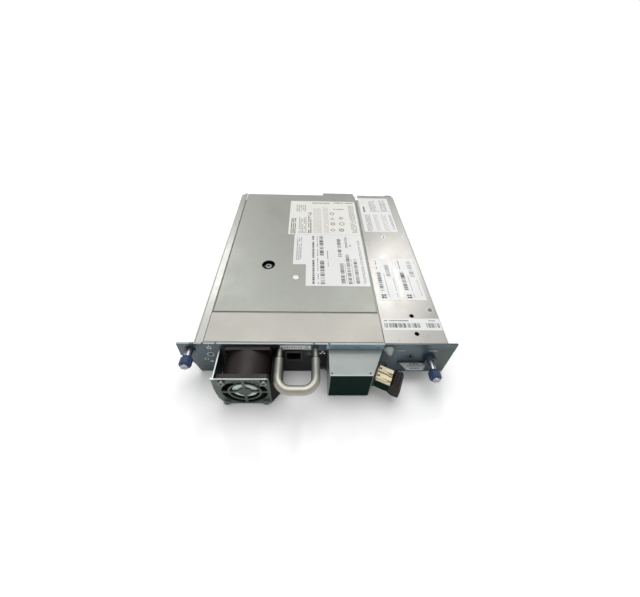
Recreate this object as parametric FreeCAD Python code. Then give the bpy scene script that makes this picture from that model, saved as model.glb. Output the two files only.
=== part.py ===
import FreeCAD, Part
import math
import os

from FreeCAD import Vector

# Half-height data tape drive in its hot-swap sled, seen from the user side.
# X runs to the right along the rear panel, Y runs away from the user into the
# library, Z is up. All sizes are in millimetres. The pieces are drawn with the
# panel's outer face at y = 0 and the tray's left wall at x = 0, and moved to
# the centre of the whole part when they are written.

# Sled
chassis_w = 212.6          # left wall to the bay cover's skirt
chassis_d = 241.3          # rear panel's outer face to the far edge of the covers
chassis_h = 42.6           # underside to the top of the covers
sheet = 1.2                # sheet metal of the tray and the covers
bend_r = 0.6               # inside radius of a fold
seat_gap = 0.3             # gap between neighbouring loose pieces
run_gap = 0.05             # radial clearance of a running fit
flange_w = 7.6             # light strip folded over the left wall
tray_d = chassis_d - 7.3   # far end of the tray's walls
bay_wall_x = 190.0         # inner face of the electronics bay's right wall
ledge_z = 33.6             # underside of the guide ledge right of the bay wall
skirt_h = 7.5              # height of the bay cover's folded edge

# Rear panel
panel_t = 1.5
panel_left = -13.4
panel_right = 220.0
ear_cut_z = 26.0           # left ear is cut away below this height
ear_foot_x = -1.4
ear_knee = (-4.5, 13.0)
right_taper = 2.0
notch_x = (104.0, 110.6)   # notch in the lower edge beside the interface hood
notch_h = 11.6
tab_x = (173.4, 201.7)     # bent-out label tab
tab_tip_x = (179.5, 194.2)
tab_z = 15.0
tab_reach = 8.5
slot_w = 8.4               # two slots that take the shelf's tabs
slot_x = (172.5, 200.2)
slit_x = (135.5, 152.9)    # narrow slits above the hood
slit_z = 38.3
slit_size = (4.2, 0.9)
edge_notch = (1.4, 1.2)    # small notches in the upper edge: width and depth
edge_notch_x = (7.5, 18.2, 98.8, 111.6)
gauge_hole = (183.1, 24.8, 1.5)   # round hole beside the label tab: x, z, radius

# Tape drive inside the sled
drive_x = (8.1, 157.4)     # over the drive cover's skirts
drive_y = (33.9, chassis_d - 0.7)
cover_drop = 0.4           # drive cover lies this far under the sled's covers
drive_sheet = 0.9
skirt_z = 18.0             # lower edge of the drive cover's skirts
base_floor = 3.0
base_wall = 2.0
base_h = 22.0
relief_r = 1.7             # round reliefs at the front cover's far corners
access_xy = (51.6, 95.8)   # access hole over the take-up reel
access_r = 6.9
rivet_xy = (80.9, 77.2)
rivet_r = 3.0
tongue_x = (113.0, 156.0)  # cover and mouth frame are longer here
tongue_reach = 5.8

# Cartridge path
cartridge_w = 105.4
cartridge_h = 21.5
mouth_clear = 0.8          # room round a cartridge in the mouth
mouth_x = 82.8             # centre of the cartridge path
tray_floor_z = 9.2         # underside of the loader carriage
frame_t = 9.0              # depth of the mouth frame
door_t = 1.6
door_pin_r = 1.2
carriage_len = 79.4
carriage_y = (chassis_d - 11.9 - carriage_len, chassis_d - 11.9)
carriage_sheet = 1.2
carriage_wall_h = 17.0
carriage_travel = 13.0
hub_slot_w = 48.0
rack_module = 0.8
gear_teeth = 18
tooth_slack = 0.12         # thinning of each flank for backlash

# Reels and tape path
hub_xy = (mouth_x, chassis_d - 52.3)
hub_r = 17.0
motor_r = 20.0
reel_r = 39.5
reel_hub_r = 20.0
reel_z = 12.0
reel_flange = 1.0
reel_gap = 13.7            # space between the flanges
spindle_r = 2.5
arm_pivot = (99.4, 100.6)
arm_r = 48.0               # pivot to the leader pin grabber
arm_rest = 42.0            # degrees from +X
arm_z = 34.4
arm_t = 1.6
roller_r = 5.0
roller_h = 14.0
roller_ring = 38.0         # guide rollers lie on this radius round the arm pivot
roller_angles = (50.0, 20.0, -20.0, -50.0)
head_size = (11.0, 12.0, 13.0)
head_drop = 3.5            # unpowered, the head rests this far below the tape's middle

# Cooling fan
fan_w = 40.0
fan_d = 28.0
fan_x = 44.3
fan_z = 20.2
fan_pitch = 32.0           # spacing of the fan's screw holes
fan_bore_r = 18.6
fan_flange = 3.6
fan_hub_r = 10.6
fan_blades = 7
guard_t = 1.0
guard_x = (20.0, 64.6)
guard_hub_r = 5.4          # solid disc in the middle of the finger guard
duct_x = (64.8, 72.4)      # black cable duct between the fan and the handle
duct_top = 30.8

# Fixed handle
handle_x = (70.7, 100.3)
handle_z = 36.0
handle_reach = 35.2        # panel to the centre of the grip
handle_r = 3.6
handle_neck_r = 2.3
handle_neck = 9.5
handle_bend = 10.0

# Interface hood and its plug
hood_x = (111.4, 157.0)
hood_tip_x = 146.0         # right front corner
hood_reach = 23.0
hood_z = (1.0, 35.0)
hood_t = 1.0
plug_w = 13.3
plug_len = 11.7
plug_z = (15.4, 28.0)
plug_along = 15.8          # port centre along the slanted wall from the panel
plug_stand = 2.2

# Network jack
jack_x = (75.0, 89.0)
jack_z = (18.9, 34.0)
jack_d = 18.0
socket_w = 11.8
socket_h = 8.2
socket_d = 12.5

# Captive thumbscrews
screw_left = (-4.0, 34.0)
screw_right = (200.3, 22.7)
knob_left_y = -7.0         # inner face of each knob at rest
knob_right_y = -12.0
knob_r = 5.0
knob_len = 8.0
stud_r = 2.0
stud_neck_r = 1.7          # between the sleeve and the thread, where the retainer sits
stud_left_end = 5.8
stud_right_end = 8.0
sleeve_r = 2.9
sleeve_lens = (6.3, 9.0)
collar_r = (4.4, 5.3)
collar_len = (1.2, 4.0)
retainer_t = 0.8
retainer_gap = (0.3, 1.3)  # panel to retainer: how far each screw can still be drawn out

# Small things in the panel: x, z and, for lenses, the radius
indicators = [(11.8, 27.1, 1.6), (7.1, 20.0, 0.9), (94.9, 29.3, 1.9)]
cap_xz = (162.3, 36.0)
cap_r = 4.2
cap_reach = 6.0

# Circuit boards
board_t = 1.6
drive_board_x = (97.0, 152.0)
drive_board_y = (38.5, 64.0)
drive_board_z = 8.0
bay_board_x = (161.2, 188.6)
bay_board_y = (34.0, tray_d - 8.0)
bay_board_z = 6.2
board_chip_y = (52.0, 76.0, 176.0)
capacitor_y = 158.0
converter_y = (98.0, 122.0)
dock_size = (24.0, 12.0, 16.0)

# Screws
screw_r = 1.25
screw_head_r = 3.2
screw_head_h = 1.1
screw_sink = 0.05          # heads lie this far under the face
base_screw_x = (20.0, 146.0)
base_screw_y = (60.0, 205.0)
base_screws = [(x, y) for x in base_screw_x for y in base_screw_y]
bay_tab_screw = (182.4, 145.9)
rail_screws = [(205.9, 36.9), (206.7, 146.2)]
cover_holes = [(187.5, 29.9), (187.5, 10.8)]
cover_hole_r = 2.1
rail_x = (201.8, 210.6)
rail_y = (30.0, chassis_d - 6.3)
rail_nose = 11.0
shelf_d = 27.0

# Places that follow from the sizes above
top_under = chassis_h - sheet
tray_right = bay_wall_x + sheet
bay_x = (drive_x[1] + 0.9, chassis_w)
partition_x = bay_x[0] + 0.2
partition_far = tray_d - 5.0
drive_top = chassis_h - cover_drop
base_x = (drive_x[0] + drive_sheet + seat_gap, drive_x[1] - drive_sheet - seat_gap)
base_y = (drive_y[0] + drive_sheet + seat_gap, chassis_d - frame_t - seat_gap)
floor_z = sheet + base_floor
roller_z = reel_z + reel_flange
panel_mid = (panel_left + panel_right) / 2.0
near_end = -max(handle_reach + handle_r, fan_d + guard_t, hood_reach)
far_end = max(drive_y[1] + tongue_reach, rail_y[1] + rail_nose, chassis_d)
origin = Vector(panel_mid, (near_end + far_end) / 2.0, 0.0)


def box(x, y, z):
    """Block between pairs of coordinates."""
    return Part.makeBox(x[1] - x[0], y[1] - y[0], z[1] - z[0], Vector(x[0], y[0], z[0]))


def rod(radius, start, end):
    """Round bar between two points."""
    start = Vector(*start)
    way = Vector(*end) - start
    return Part.makeCylinder(radius, way.Length, start, way)


def cone(r_start, r_end, start, end):
    """Tapered round bar between two points."""
    start = Vector(*start)
    way = Vector(*end) - start
    return Part.makeCone(r_start, r_end, way.Length, start, way)


def prism(points, axis, span):
    """Closed outline, given in the other two axes in X, Y, Z order, pushed along an axis."""
    low, high = span
    place = {
        "x": lambda a, b: Vector(low, a, b),
        "y": lambda a, b: Vector(a, low, b),
        "z": lambda a, b: Vector(a, b, low),
    }[axis]
    corners = [place(a, b) for a, b in points]
    way = {"x": Vector(1, 0, 0), "y": Vector(0, 1, 0), "z": Vector(0, 0, 1)}[axis]
    face = Part.Face(Part.makePolygon(corners + corners[:1]))
    return face.extrude(way * (high - low))


def joined(*shapes):
    """One solid from overlapping or touching ones."""
    return shapes[0].multiFuse(list(shapes[1:])).removeSplitter()


def edges_along(shape, axis, test=None):
    """Straight edges along an axis whose midpoint passes the test."""
    way = {"x": Vector(1, 0, 0), "y": Vector(0, 1, 0), "z": Vector(0, 0, 1)}[axis]
    found = []
    for edge in shape.Edges:
        if not isinstance(edge.Curve, Part.Line):
            continue
        run = edge.Vertexes[-1].Point - edge.Vertexes[0].Point
        if run.cross(way).Length > 1e-6 * run.Length:
            continue
        if test is None or test(edge.CenterOfMass):
            found.append(edge)
    return found


def rounded(shape, radius, axis, test=None):
    """The shape with its edges along an axis rounded."""
    return shape.makeFillet(radius, edges_along(shape, axis, test))


def folded(path, axis, span, thickness=sheet):
    """Folded sheet: the path is one face of it, and the metal lies on the path's left."""
    points = [Vector(a, b, 0) for a, b in path]
    steps = [(b - a).normalize() for a, b in zip(points, points[1:])]
    sides = [Vector(-step.y, step.x, 0) for step in steps]
    offset = [points[0] + sides[0] * thickness]
    for point, first, second in zip(points[1:], sides, sides[1:]):
        both = first + second
        offset.append(point + both * (thickness / both.dot(first)))
    offset.append(points[-1] + sides[-1] * thickness)
    outline = [(p.x, p.y) for p in points + offset[::-1]]
    solid = prism(outline, axis, span)
    keys = {"x": ("y", "z"), "y": ("x", "z"), "z": ("x", "y")}[axis]
    for index in range(1, len(points) - 1):
        turn = steps[index - 1].cross(steps[index]).z
        outer, inner = points[index], offset[index]
        if turn < 0:
            outer, inner = inner, outer
        for corner, radius in ((outer, bend_r + thickness), (inner, bend_r)):
            def here(middle, corner=corner):
                gap = (getattr(middle, keys[0]) - corner.x, getattr(middle, keys[1]) - corner.y)
                return math.hypot(*gap) < 1e-4
            solid = rounded(solid, radius, axis, here)
    return solid


def oblong(centre, length, width, axis, span):
    """Round-ended slot cutter; its length runs along the first of the other two axes."""
    a, b = centre
    half = (length - width) / 2.0
    low, high = span
    ends = []
    for shift in (-half, half):
        start, end = {
            "x": ((low, a + shift, b), (high, a + shift, b)),
            "y": ((a + shift, low, b), (a + shift, high, b)),
            "z": ((a + shift, b, low), (a + shift, b, high)),
        }[axis]
        ends.append(rod(width / 2.0, start, end))
    corners = [(a - half, b - width / 2.0), (a + half, b - width / 2.0),
               (a + half, b + width / 2.0), (a - half, b + width / 2.0)]
    return joined(prism(corners, axis, span), *ends)


def flat_screw(x, y, top, length):
    """Countersunk cross-head screw with its head's face at the top."""
    head = cone(screw_head_r - 0.15, screw_r - run_gap, (x, y, top), (x, y, top - screw_head_h))
    shank = rod(screw_r - run_gap, (x, y, top - 0.5 * screw_head_h), (x, y, top - length))
    cross = [box((x - a, x + a), (y - b, y + b), (top - 0.6, top + 0.1)) for a, b in ((1.8, 0.35), (0.35, 1.8))]
    return joined(head, shank).cut(cross)


def sink(x, y, top, depth):
    """Hole and countersink for such a screw."""
    cut = cone(screw_head_r + run_gap, screw_r + run_gap, (x, y, top), (x, y, top - screw_head_h))
    return joined(cut, rod(screw_r + run_gap, (x, y, top), (x, y, top - depth)))


# Sheet metal of the sled

def make_sled_tray():
    path = [(flange_w, chassis_h), (0.0, chassis_h), (0.0, 0.0), (tray_right, 0.0), (tray_right, top_under)]
    tray = folded(path, "y", (panel_t, chassis_d))
    beyond = box((-1.0, tray_right + 1.0), (tray_d, chassis_d + 1.0), (-1.0, top_under))
    corner = prism([(-1.0, tray_d), (flange_w - sheet, chassis_d + 1.0), (-1.0, chassis_d + 1.0)],
                   "z", (top_under - 2.0, chassis_h + 1.0))
    above_shelf = box((bay_wall_x - 1.0, tray_right + 1.0), (0.0, 6.0), (ledge_z, chassis_h))
    cuts = [beyond, corner, above_shelf]
    for x, y in base_screws:
        cuts.append(rod(screw_r + 0.3, (x, y, -1.0), (x, y, sheet + 1.0)))
        cuts.append(cone(screw_head_r + run_gap, screw_r + 0.3, (x, y, 0.0), (x, y, screw_head_h)))
    for step in range(7):
        cuts.append(oblong((52.0 + 24.0 * step, 21.0), 16.0, 3.0, "x", (-1.0, sheet + 1.0)))
        cuts.append(oblong((52.0 + 24.0 * step, 24.0), 14.0, 3.0, "x", (bay_wall_x - 1.0, tray_right + 1.0)))
    for x in (mouth_x - 22.8, mouth_x, mouth_x + 22.8):
        cuts.append(oblong((x, 17.0), 16.0, 5.0, "z", (-1.0, sheet + 1.0)))
    tray = tray.cut(cuts)
    tab = box((bay_tab_screw[0] - 6.0, bay_wall_x + 0.2),
              (bay_tab_screw[1] - 8.0, bay_tab_screw[1] + 8.0), (top_under - sheet, top_under))
    tray = joined(tray, tab)
    return tray.cut(rod(screw_r, (*bay_tab_screw, top_under - 3.0), (*bay_tab_screw, chassis_h)))


def make_bay_partition():
    wall = folded([(partition_x, top_under), (partition_x, sheet), (partition_x + 12.0, sheet)],
                  "y", (panel_t, partition_far), 1.0)
    openings = [oblong((y, 22.0), 26.0, 12.0, "x", (partition_x - 1.0, partition_x + 2.0))
                for y in (bay_board_y[0] + 26.0, bay_board_y[1] - 26.0)]
    slot = box((partition_x - 1.0, partition_x + 2.0), (0.0, 4.0), (ledge_z - 0.1, ledge_z + sheet + 0.1))
    return wall.cut(openings + [slot])


def make_bay_shelf():
    x = (partition_x + 1.0, chassis_w - sheet - seat_gap)
    shelf = box(x, (panel_t, shelf_d), (ledge_z, ledge_z + sheet))
    shelf = rounded(shelf, 3.0, "z", lambda middle: middle.y > panel_t + 1.0)
    wall_slot = box((bay_wall_x - 0.1, tray_right + 0.1), (6.0 - 0.1, shelf_d + 1.0), (ledge_z - 1.0, ledge_z + 3.0))
    shelf = shelf.cut(wall_slot)
    tabs = [box((mid - slot_w / 2.0 + 0.1, mid + slot_w / 2.0 - 0.1), (-0.4, panel_t + 0.1),
                (ledge_z, ledge_z + sheet)) for mid in slot_x]
    return joined(shelf, *tabs)


def make_bay_cover():
    path = [(bay_x[1], chassis_h - skirt_h), (bay_x[1], chassis_h), (bay_x[0], chassis_h)]
    cover = folded(path, "y", (panel_t, chassis_d))
    corner = prism([(bay_x[1] + 1.0, chassis_d - 5.0), (bay_x[1] + 1.0, chassis_d + 1.0),
                    (bay_x[1] - 5.0, chassis_d + 1.0)], "z", (chassis_h - 10.0, chassis_h + 1.0))
    dip = box((bay_x[0] - 1.0, bay_x[0] + 3.2), (partition_far, chassis_d + 1.0), (top_under - 1.0, chassis_h + 1.0))
    cuts = [corner, dip]
    cuts += [rod(cover_hole_r, (x, y, top_under - 1.0), (x, y, chassis_h + 1.0)) for x, y in cover_holes]
    cuts += [sink(x, y, chassis_h, 3.0) for x, y in rail_screws + [bay_tab_screw]]
    return cover.cut(cuts)


def make_front_cover():
    far = drive_y[0] - seat_gap - 0.3
    path = [(far, chassis_h - 3.2), (far, chassis_h), (panel_t, chassis_h), (panel_t, chassis_h - 2.9)]
    cover = folded(path, "x", drive_x)
    reliefs = [rod(relief_r, (x, far, chassis_h - 4.0), (x, far, chassis_h + 1.0)) for x in drive_x]
    return cover.cut(reliefs)


def fan_corners():
    """Screw places at the fan's corners."""
    half = fan_pitch / 2.0
    return [(fan_x + a, fan_z + b) for a in (-half, half) for b in (-half, half)]


def make_rear_panel():
    knee_x, knee_z = ear_knee
    outline = [(ear_foot_x, 0.0), (notch_x[0], 0.0), (notch_x[0], notch_h), (notch_x[1], notch_h),
               (notch_x[1], 0.0), (panel_right - right_taper, 0.0), (panel_right, chassis_h),
               (panel_left, chassis_h), (panel_left, ear_cut_z), (knee_x, knee_z)]
    panel = prism(outline, "y", (0.0, panel_t))
    through = (-1.0, panel_t + 1.0)
    cuts = [rod(fan_bore_r, (fan_x, through[0], fan_z), (fan_x, through[1], fan_z))]
    cuts += [rod(handle_neck_r + 0.1, (x, through[0], handle_z), (x, through[1], handle_z)) for x in handle_x]
    cuts += [rod(sleeve_r + seat_gap, (x, through[0], z), (x, through[1], z)) for x, z in (screw_left, screw_right)]
    cuts += [rod(radius + 0.05, (x, through[0], z), (x, through[1], z)) for x, z, radius in indicators]
    cuts.append(rod(cap_r / 2.0 + 0.05, (cap_xz[0], through[0], cap_xz[1]), (cap_xz[0], through[1], cap_xz[1])))
    cuts.append(box((jack_x[0] - 0.1, jack_x[1] + 0.1), through, (jack_z[0] - 0.1, jack_z[1] + 0.1)))
    cuts.append(box((hood_x[0] + 5.0, hood_tip_x - 4.0), through, (hood_z[0] + 5.0, hood_z[1] - 5.0)))
    cuts += [box((mid - slot_w / 2.0, mid + slot_w / 2.0), through, (ledge_z - 0.1, ledge_z + sheet + 0.1))
             for mid in slot_x]
    gauge_x, gauge_z, gauge_r = gauge_hole
    cuts.append(rod(gauge_r, (gauge_x, through[0], gauge_z), (gauge_x, through[1], gauge_z)))
    wide, deep = edge_notch
    cuts += [box((x - wide / 2.0, x + wide / 2.0), through, (chassis_h - deep, chassis_h + 1.0))
             for x in edge_notch_x]
    cuts += [oblong((x, slit_z), slit_size[0], slit_size[1], "y", through) for x in slit_x]
    window = prism([(tab_x[0], tab_z + 0.01), (tab_x[1], tab_z + 0.01), (tab_tip_x[1], tab_z - tab_reach),
                    (tab_tip_x[0], tab_z - tab_reach)], "y", through)
    panel = panel.cut(cuts + [window])
    tab = prism([(tab_x[0], panel_t), (tab_x[0], -1.0), (tab_tip_x[0], -tab_reach), (tab_tip_x[1], -tab_reach),
                 (tab_x[1], -1.0), (tab_x[1], panel_t)], "z", (tab_z, tab_z + sheet))
    tab = rounded(tab, 1.5, "z", lambda middle: middle.y < -tab_reach + 0.1)
    return joined(panel, tab)


def make_indicator_lenses():
    lenses = []
    for x, z, radius in indicators:
        stem = rod(radius, (x, -0.2, z), (x, panel_t, z))
        lenses.append(joined(stem, rod(radius + 0.6, (x, panel_t, z), (x, panel_t + 2.0, z))))
    return Part.makeCompound(lenses)


def make_fan_duct():
    """Black duct for the fan's wires, against the panel and the fan's right side."""
    left, right = duct_x
    low = fan_z - fan_w / 2.0
    foot = prism([(left, 0.0), (left, -fan_d), (right, -fan_d + 9.0), (right, 0.0)], "z", (low, duct_top))
    flange = box((left, handle_x[0] - handle_neck_r - seat_gap), (-2.0, 0.0), (duct_top - 0.5, chassis_h - 2.6))
    room = prism([(left + 1.2, 1.0), (left + 1.2, -fan_d + 4.0), (right - 1.2, -fan_d + 10.2), (right - 1.2, 1.0)],
                 "z", (low - 1.0, duct_top - 1.2))
    return joined(foot, flange).cut(room)


# Tape drive housing

def make_drive_base():
    depth = (base_y[0], base_y[1])
    body = box(base_x, depth, (sheet, sheet + base_h))
    body = rounded(body, 2.0, "z", lambda middle: middle.y < depth[0] + 1.0)
    pocket = box((base_x[0] + base_wall, base_x[1] - base_wall), (depth[0] + base_wall, depth[1] + 10.0),
                 (floor_z, sheet + base_h + 1.0))
    pocket = rounded(pocket, 4.0, "z", lambda middle: middle.y < depth[0] + base_wall + 1.0)
    base = body.cut(pocket)
    rim_cut = box((base_x[0] + 14.0, base_x[1] - 14.0), (depth[0] - 1.0, depth[0] + base_wall + 1.0),
                  (sheet + 12.0, sheet + base_h + 1.0))
    base = base.cut(rim_cut)
    bosses = [rod(4.0, (x, y, floor_z), (x, y, floor_z + 2.6)) for x, y in base_screws]
    board_posts = [rod(2.2, (x, y, floor_z), (x, y, drive_board_z)) for x, y in drive_board_screws()]
    ribs = [box((x - 0.8, x + 0.8), (depth[0] + 1.0, 88.0), (floor_z, floor_z + 1.4)) for x in (96.0,)]
    base = joined(base, *bosses, *board_posts, *ribs)
    holes = [rod(screw_r, (x, y, 0.0), (x, y, floor_z + 1.6)) for x, y in base_screws]
    holes += [rod(screw_r, (x, y, drive_board_z - 3.0), (x, y, drive_board_z + 1.0)) for x, y in drive_board_screws()]
    sockets = [rod(radius, (x, y, floor_z - 1.5), (x, y, floor_z + 9.0)) for x, y, radius in post_sockets()]
    return base.cut(holes + sockets)


def drive_board_screws():
    low_x, high_x = drive_board_x
    low_y, high_y = drive_board_y
    return [(x, y) for x in (low_x + 4.0, high_x - 4.0) for y in (low_y + 4.0, high_y - 4.0)]


def roller_places():
    return [(arm_pivot[0] + roller_ring * math.cos(math.radians(angle)),
             arm_pivot[1] + roller_ring * math.sin(math.radians(angle))) for angle in roller_angles]


def post_sockets():
    """Pressed pins in the base: x, y, radius."""
    pins = [(x, y, 1.5) for x, y in roller_places()]
    return pins + [(*arm_pivot, 3.0)]


def make_drive_cover():
    top = drive_top
    shell = box(drive_x, (drive_y[0], drive_y[1]), (skirt_z, top))
    shell = rounded(shell, 1.2, "z", lambda middle: middle.y < drive_y[0] + 1.0)
    shell = rounded(shell, 1.0, "y", lambda middle: middle.z > top - 0.1)
    room = box((drive_x[0] + drive_sheet, drive_x[1] - drive_sheet), (drive_y[0] + drive_sheet, drive_y[1] + 1.0),
               (skirt_z - 1.0, top - drive_sheet))
    tongue = box(tongue_x, (drive_y[1] - 1.0, drive_y[1] + tongue_reach), (top - drive_sheet, top))
    tongue = rounded(tongue, 2.0, "z", lambda middle: middle.y > drive_y[1] + 1.0)
    holes = [rod(access_r, (*access_xy, top - 3.0), (*access_xy, top + 1.0)),
             rod(1.6, (*rivet_xy, top - 3.0), (*rivet_xy, top + 1.0))]
    holes += [oblong((y, 30.0), 12.0, 2.0, "x", (drive_x[0] - 1.0, drive_x[0] + 2.0)) for y in (60.0, 80.0, 100.0)]
    return joined(shell.cut(room), tongue).cut(holes)


def make_cover_rivet():
    x, y = rivet_xy
    head = rod(rivet_r, (x, y, drive_top), (x, y, drive_top + 0.4))
    stem = rod(1.55, (x, y, drive_top - drive_sheet - 1.0), (x, y, drive_top))
    foot = rod(2.4, (x, y, drive_top - drive_sheet - 1.6), (x, y, drive_top - drive_sheet))
    return joined(head, stem, foot)


def make_mouth_frame():
    near = chassis_d - frame_t
    wide = (drive_x[0] + drive_sheet + 0.05, drive_x[1] - drive_sheet - 0.05)
    frame = box(wide, (near, chassis_d), (sheet, drive_top - drive_sheet))
    nose = box((tongue_x[0] + 1.0, tongue_x[1] - 1.0), (chassis_d - 1.0, drive_y[1] + tongue_reach - 0.4),
               (tray_floor_z + cartridge_h + 6.0, drive_top - drive_sheet))
    frame = joined(frame, nose)
    half = cartridge_w / 2.0 + mouth_clear
    low, high = mouth_z()
    window = box((mouth_x - half, mouth_x + half), (near - 1.0, chassis_d + 10.0), (low, high))
    flare = 3.0
    near_ring = [(mouth_x - half, low), (mouth_x + half, low), (mouth_x + half, high), (mouth_x - half, high)]
    far_ring = [(mouth_x - half - flare, low - flare), (mouth_x + half + flare, low - flare),
                (mouth_x + half + flare, high + flare), (mouth_x - half - flare, high + flare)]
    rings = []
    for ring, y in ((near_ring, chassis_d - 4.0), (far_ring, chassis_d + 0.001)):
        corners = [Vector(a, y, b) for a, b in ring]
        rings.append(Part.makePolygon(corners + corners[:1]))
    funnel = Part.makeLoft(rings, True, True)
    frame = frame.cut([window, funnel])
    lugs = []
    for side in (-1.0, 1.0):
        inner = mouth_x + side * (half + 0.4)
        outer = inner + side * 3.0
        lugs.append(box(sorted((inner, outer)), (door_axis()[0] - 2.4, near + 0.5),
                        (door_axis()[1] - 2.6, door_axis()[1] + 2.6)))
    frame = joined(frame, *lugs)
    axis_y, axis_z = door_axis()
    bore = rod(door_pin_r + run_gap, (mouth_x - half - 4.0, axis_y, axis_z), (mouth_x + half + 4.0, axis_y, axis_z))
    room = rod(2.9, (mouth_x - half - 0.4, axis_y, axis_z), (mouth_x + half + 0.4, axis_y, axis_z))
    return frame.cut([bore, room])


def mouth_z():
    """Lower and upper edge of the cartridge mouth."""
    low = tray_floor_z + carriage_sheet + 0.3
    return low, low + cartridge_h + 1.6


def door_axis():
    """Y and Z of the mouth door's hinge."""
    return chassis_d - frame_t - 2.6, mouth_z()[1] + 3.0


def make_mouth_door():
    half = cartridge_w / 2.0 - 0.2
    axis_y, axis_z = door_axis()
    low = mouth_z()[0] + 0.3
    leaf = box((mouth_x - half, mouth_x + half), (axis_y + 0.3, axis_y + 0.3 + door_t), (low, axis_z))
    barrel = rod(2.2, (mouth_x - half, axis_y, axis_z), (mouth_x + half, axis_y, axis_z))
    reach = cartridge_w / 2.0 + mouth_clear + 3.2
    pins = rod(door_pin_r, (mouth_x - reach, axis_y, axis_z), (mouth_x + reach, axis_y, axis_z))
    ribs = [box((mouth_x + shift - 0.6, mouth_x + shift + 0.6), (axis_y - 0.9, axis_y + 0.4), (low + 2.0, axis_z))
            for shift in (-30.0, 0.0, 30.0)]
    return joined(leaf, barrel, pins, *ribs)


# Cartridge loader

def rack_face_x():
    """Outer face of the carriage's right wall, where the rack starts."""
    return mouth_x + cartridge_w / 2.0 + 0.6 + carriage_sheet


def gear_pitch_r():
    return rack_module * gear_teeth / 2.0


def gear_xy():
    """Centre of the loader gear, a whole number of teeth from the rack's first one."""
    pitch = math.pi * rack_module
    return rack_face_x() + 1.8 + gear_pitch_r(), carriage_y[0] + 6.5 * pitch


def make_loader_carriage():
    low_y, high_y = carriage_y
    left = mouth_x - cartridge_w / 2.0 - 0.6 - carriage_sheet
    right = rack_face_x()
    top = tray_floor_z + carriage_wall_h
    body = folded([(left, top), (left, tray_floor_z), (right, tray_floor_z), (right, top)], "y",
                  (low_y, high_y), carriage_sheet)
    hub_slot = box((mouth_x - hub_slot_w / 2.0, mouth_x + hub_slot_w / 2.0), (low_y - 1.0, high_y - 7.0),
                   (tray_floor_z - 1.0, tray_floor_z + 3.0))
    hub_slot = rounded(hub_slot, 8.0, "z", lambda middle: middle.y > low_y + 10.0)
    entry = prism([(high_y + 1.0, top + 1.0), (high_y + 1.0, top - 9.0), (high_y - 9.0, top + 1.0)],
                  "x", (left - 1.0, right + 1.0))
    body = body.cut([hub_slot, entry])
    return joined(body, make_rack())


def make_rack():
    """Straight teeth on the carriage's right wall, facing the loader gear."""
    pitch = math.pi * rack_module
    root_x = rack_face_x() + 0.8
    pitch_x = rack_face_x() + 1.8
    tip_x = pitch_x + 0.85 * rack_module
    lean = math.tan(math.radians(20.0))
    count = int((carriage_travel + gear_pitch_r() * 1.4 + 2.0 * pitch) / pitch) + 1
    start = gear_xy()[1] - 3.5 * pitch
    outline = [(rack_face_x() - 0.2, start)]
    for step in range(count):
        middle = start + (step + 0.5) * pitch
        half = pitch / 4.0 - tooth_slack
        wide = half + (pitch_x - root_x) * lean
        thin = half - (tip_x - pitch_x) * lean
        outline += [(root_x, middle - wide), (tip_x, middle - thin), (tip_x, middle + thin), (root_x, middle + wide)]
    outline.append((rack_face_x() - 0.2, start + count * pitch))
    return prism(outline, "z", gear_z())


def gear_z():
    """Height span of the loader gear and the rack."""
    return tray_floor_z + 5.0, tray_floor_z + 9.5


def make_loader_gear():
    """Involute spur gear on its motor shaft, with a tooth space facing the rack tooth."""
    x, y = gear_xy()
    low, high = gear_z()
    pitch_r = gear_pitch_r()
    base_r = pitch_r * math.cos(math.radians(20.0))
    tip_r = pitch_r + 0.8 * rack_module
    root_r = pitch_r - 1.1 * rack_module
    roll = math.tan(math.radians(20.0)) - math.radians(20.0)
    half_angle = math.pi / (2.0 * gear_teeth) - tooth_slack / pitch_r

    def flank(radius):
        """Angle from the tooth's middle to its flank at a radius."""
        if radius <= base_r:
            return half_angle + roll
        press = math.acos(base_r / radius)
        return half_angle + roll - (math.tan(press) - press)

    radii = [root_r, base_r, (base_r + tip_r) / 2.0, tip_r]
    outline = []
    for tooth in range(gear_teeth):
        middle = math.pi + (tooth + 0.5) * 2.0 * math.pi / gear_teeth
        outline += [(radius, middle - flank(radius)) for radius in radii]
        outline += [(radius, middle + flank(radius)) for radius in reversed(radii)]
    wheel = prism([(x + r * math.cos(a), y + r * math.sin(a)) for r, a in outline], "z", (low, high))
    hub = rod(2.4, (x, y, low - 0.8), (x, y, high + 1.5))
    shaft = rod(1.0, (x, y, floor_z + 1.5), (x, y, low))
    return joined(wheel, hub, shaft)


def make_loader_motor():
    x, y = gear_xy()
    top = gear_z()[0] - 1.3
    can = rod(6.2, (x, y, floor_z), (x, y, top - 1.0))
    nose = rod(2.6, (x, y, top - 1.0), (x, y, top))
    return joined(can, nose).cut(rod(1.0 + run_gap, (x, y, floor_z + 1.0), (x, y, top + 1.0)))


# Reels

def turned(profile, x, y):
    """Solid of revolution about a vertical line; the profile is radius and height."""
    corners = [Vector(x + radius, y, z) for radius, z in profile]
    face = Part.Face(Part.makePolygon(corners + corners[:1]))
    return face.revolve(Vector(x, y, 0), Vector(0, 0, 1), 360)


def make_supply_motor():
    low, high = floor_z, floor_z + 2.6
    x, y = hub_xy
    plate = turned([(spindle_r + run_gap, low), (motor_r, low), (motor_r, high - 0.8),
                    (motor_r - 2.0, high), (spindle_r + run_gap, high)], x, y)
    return plate


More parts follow.
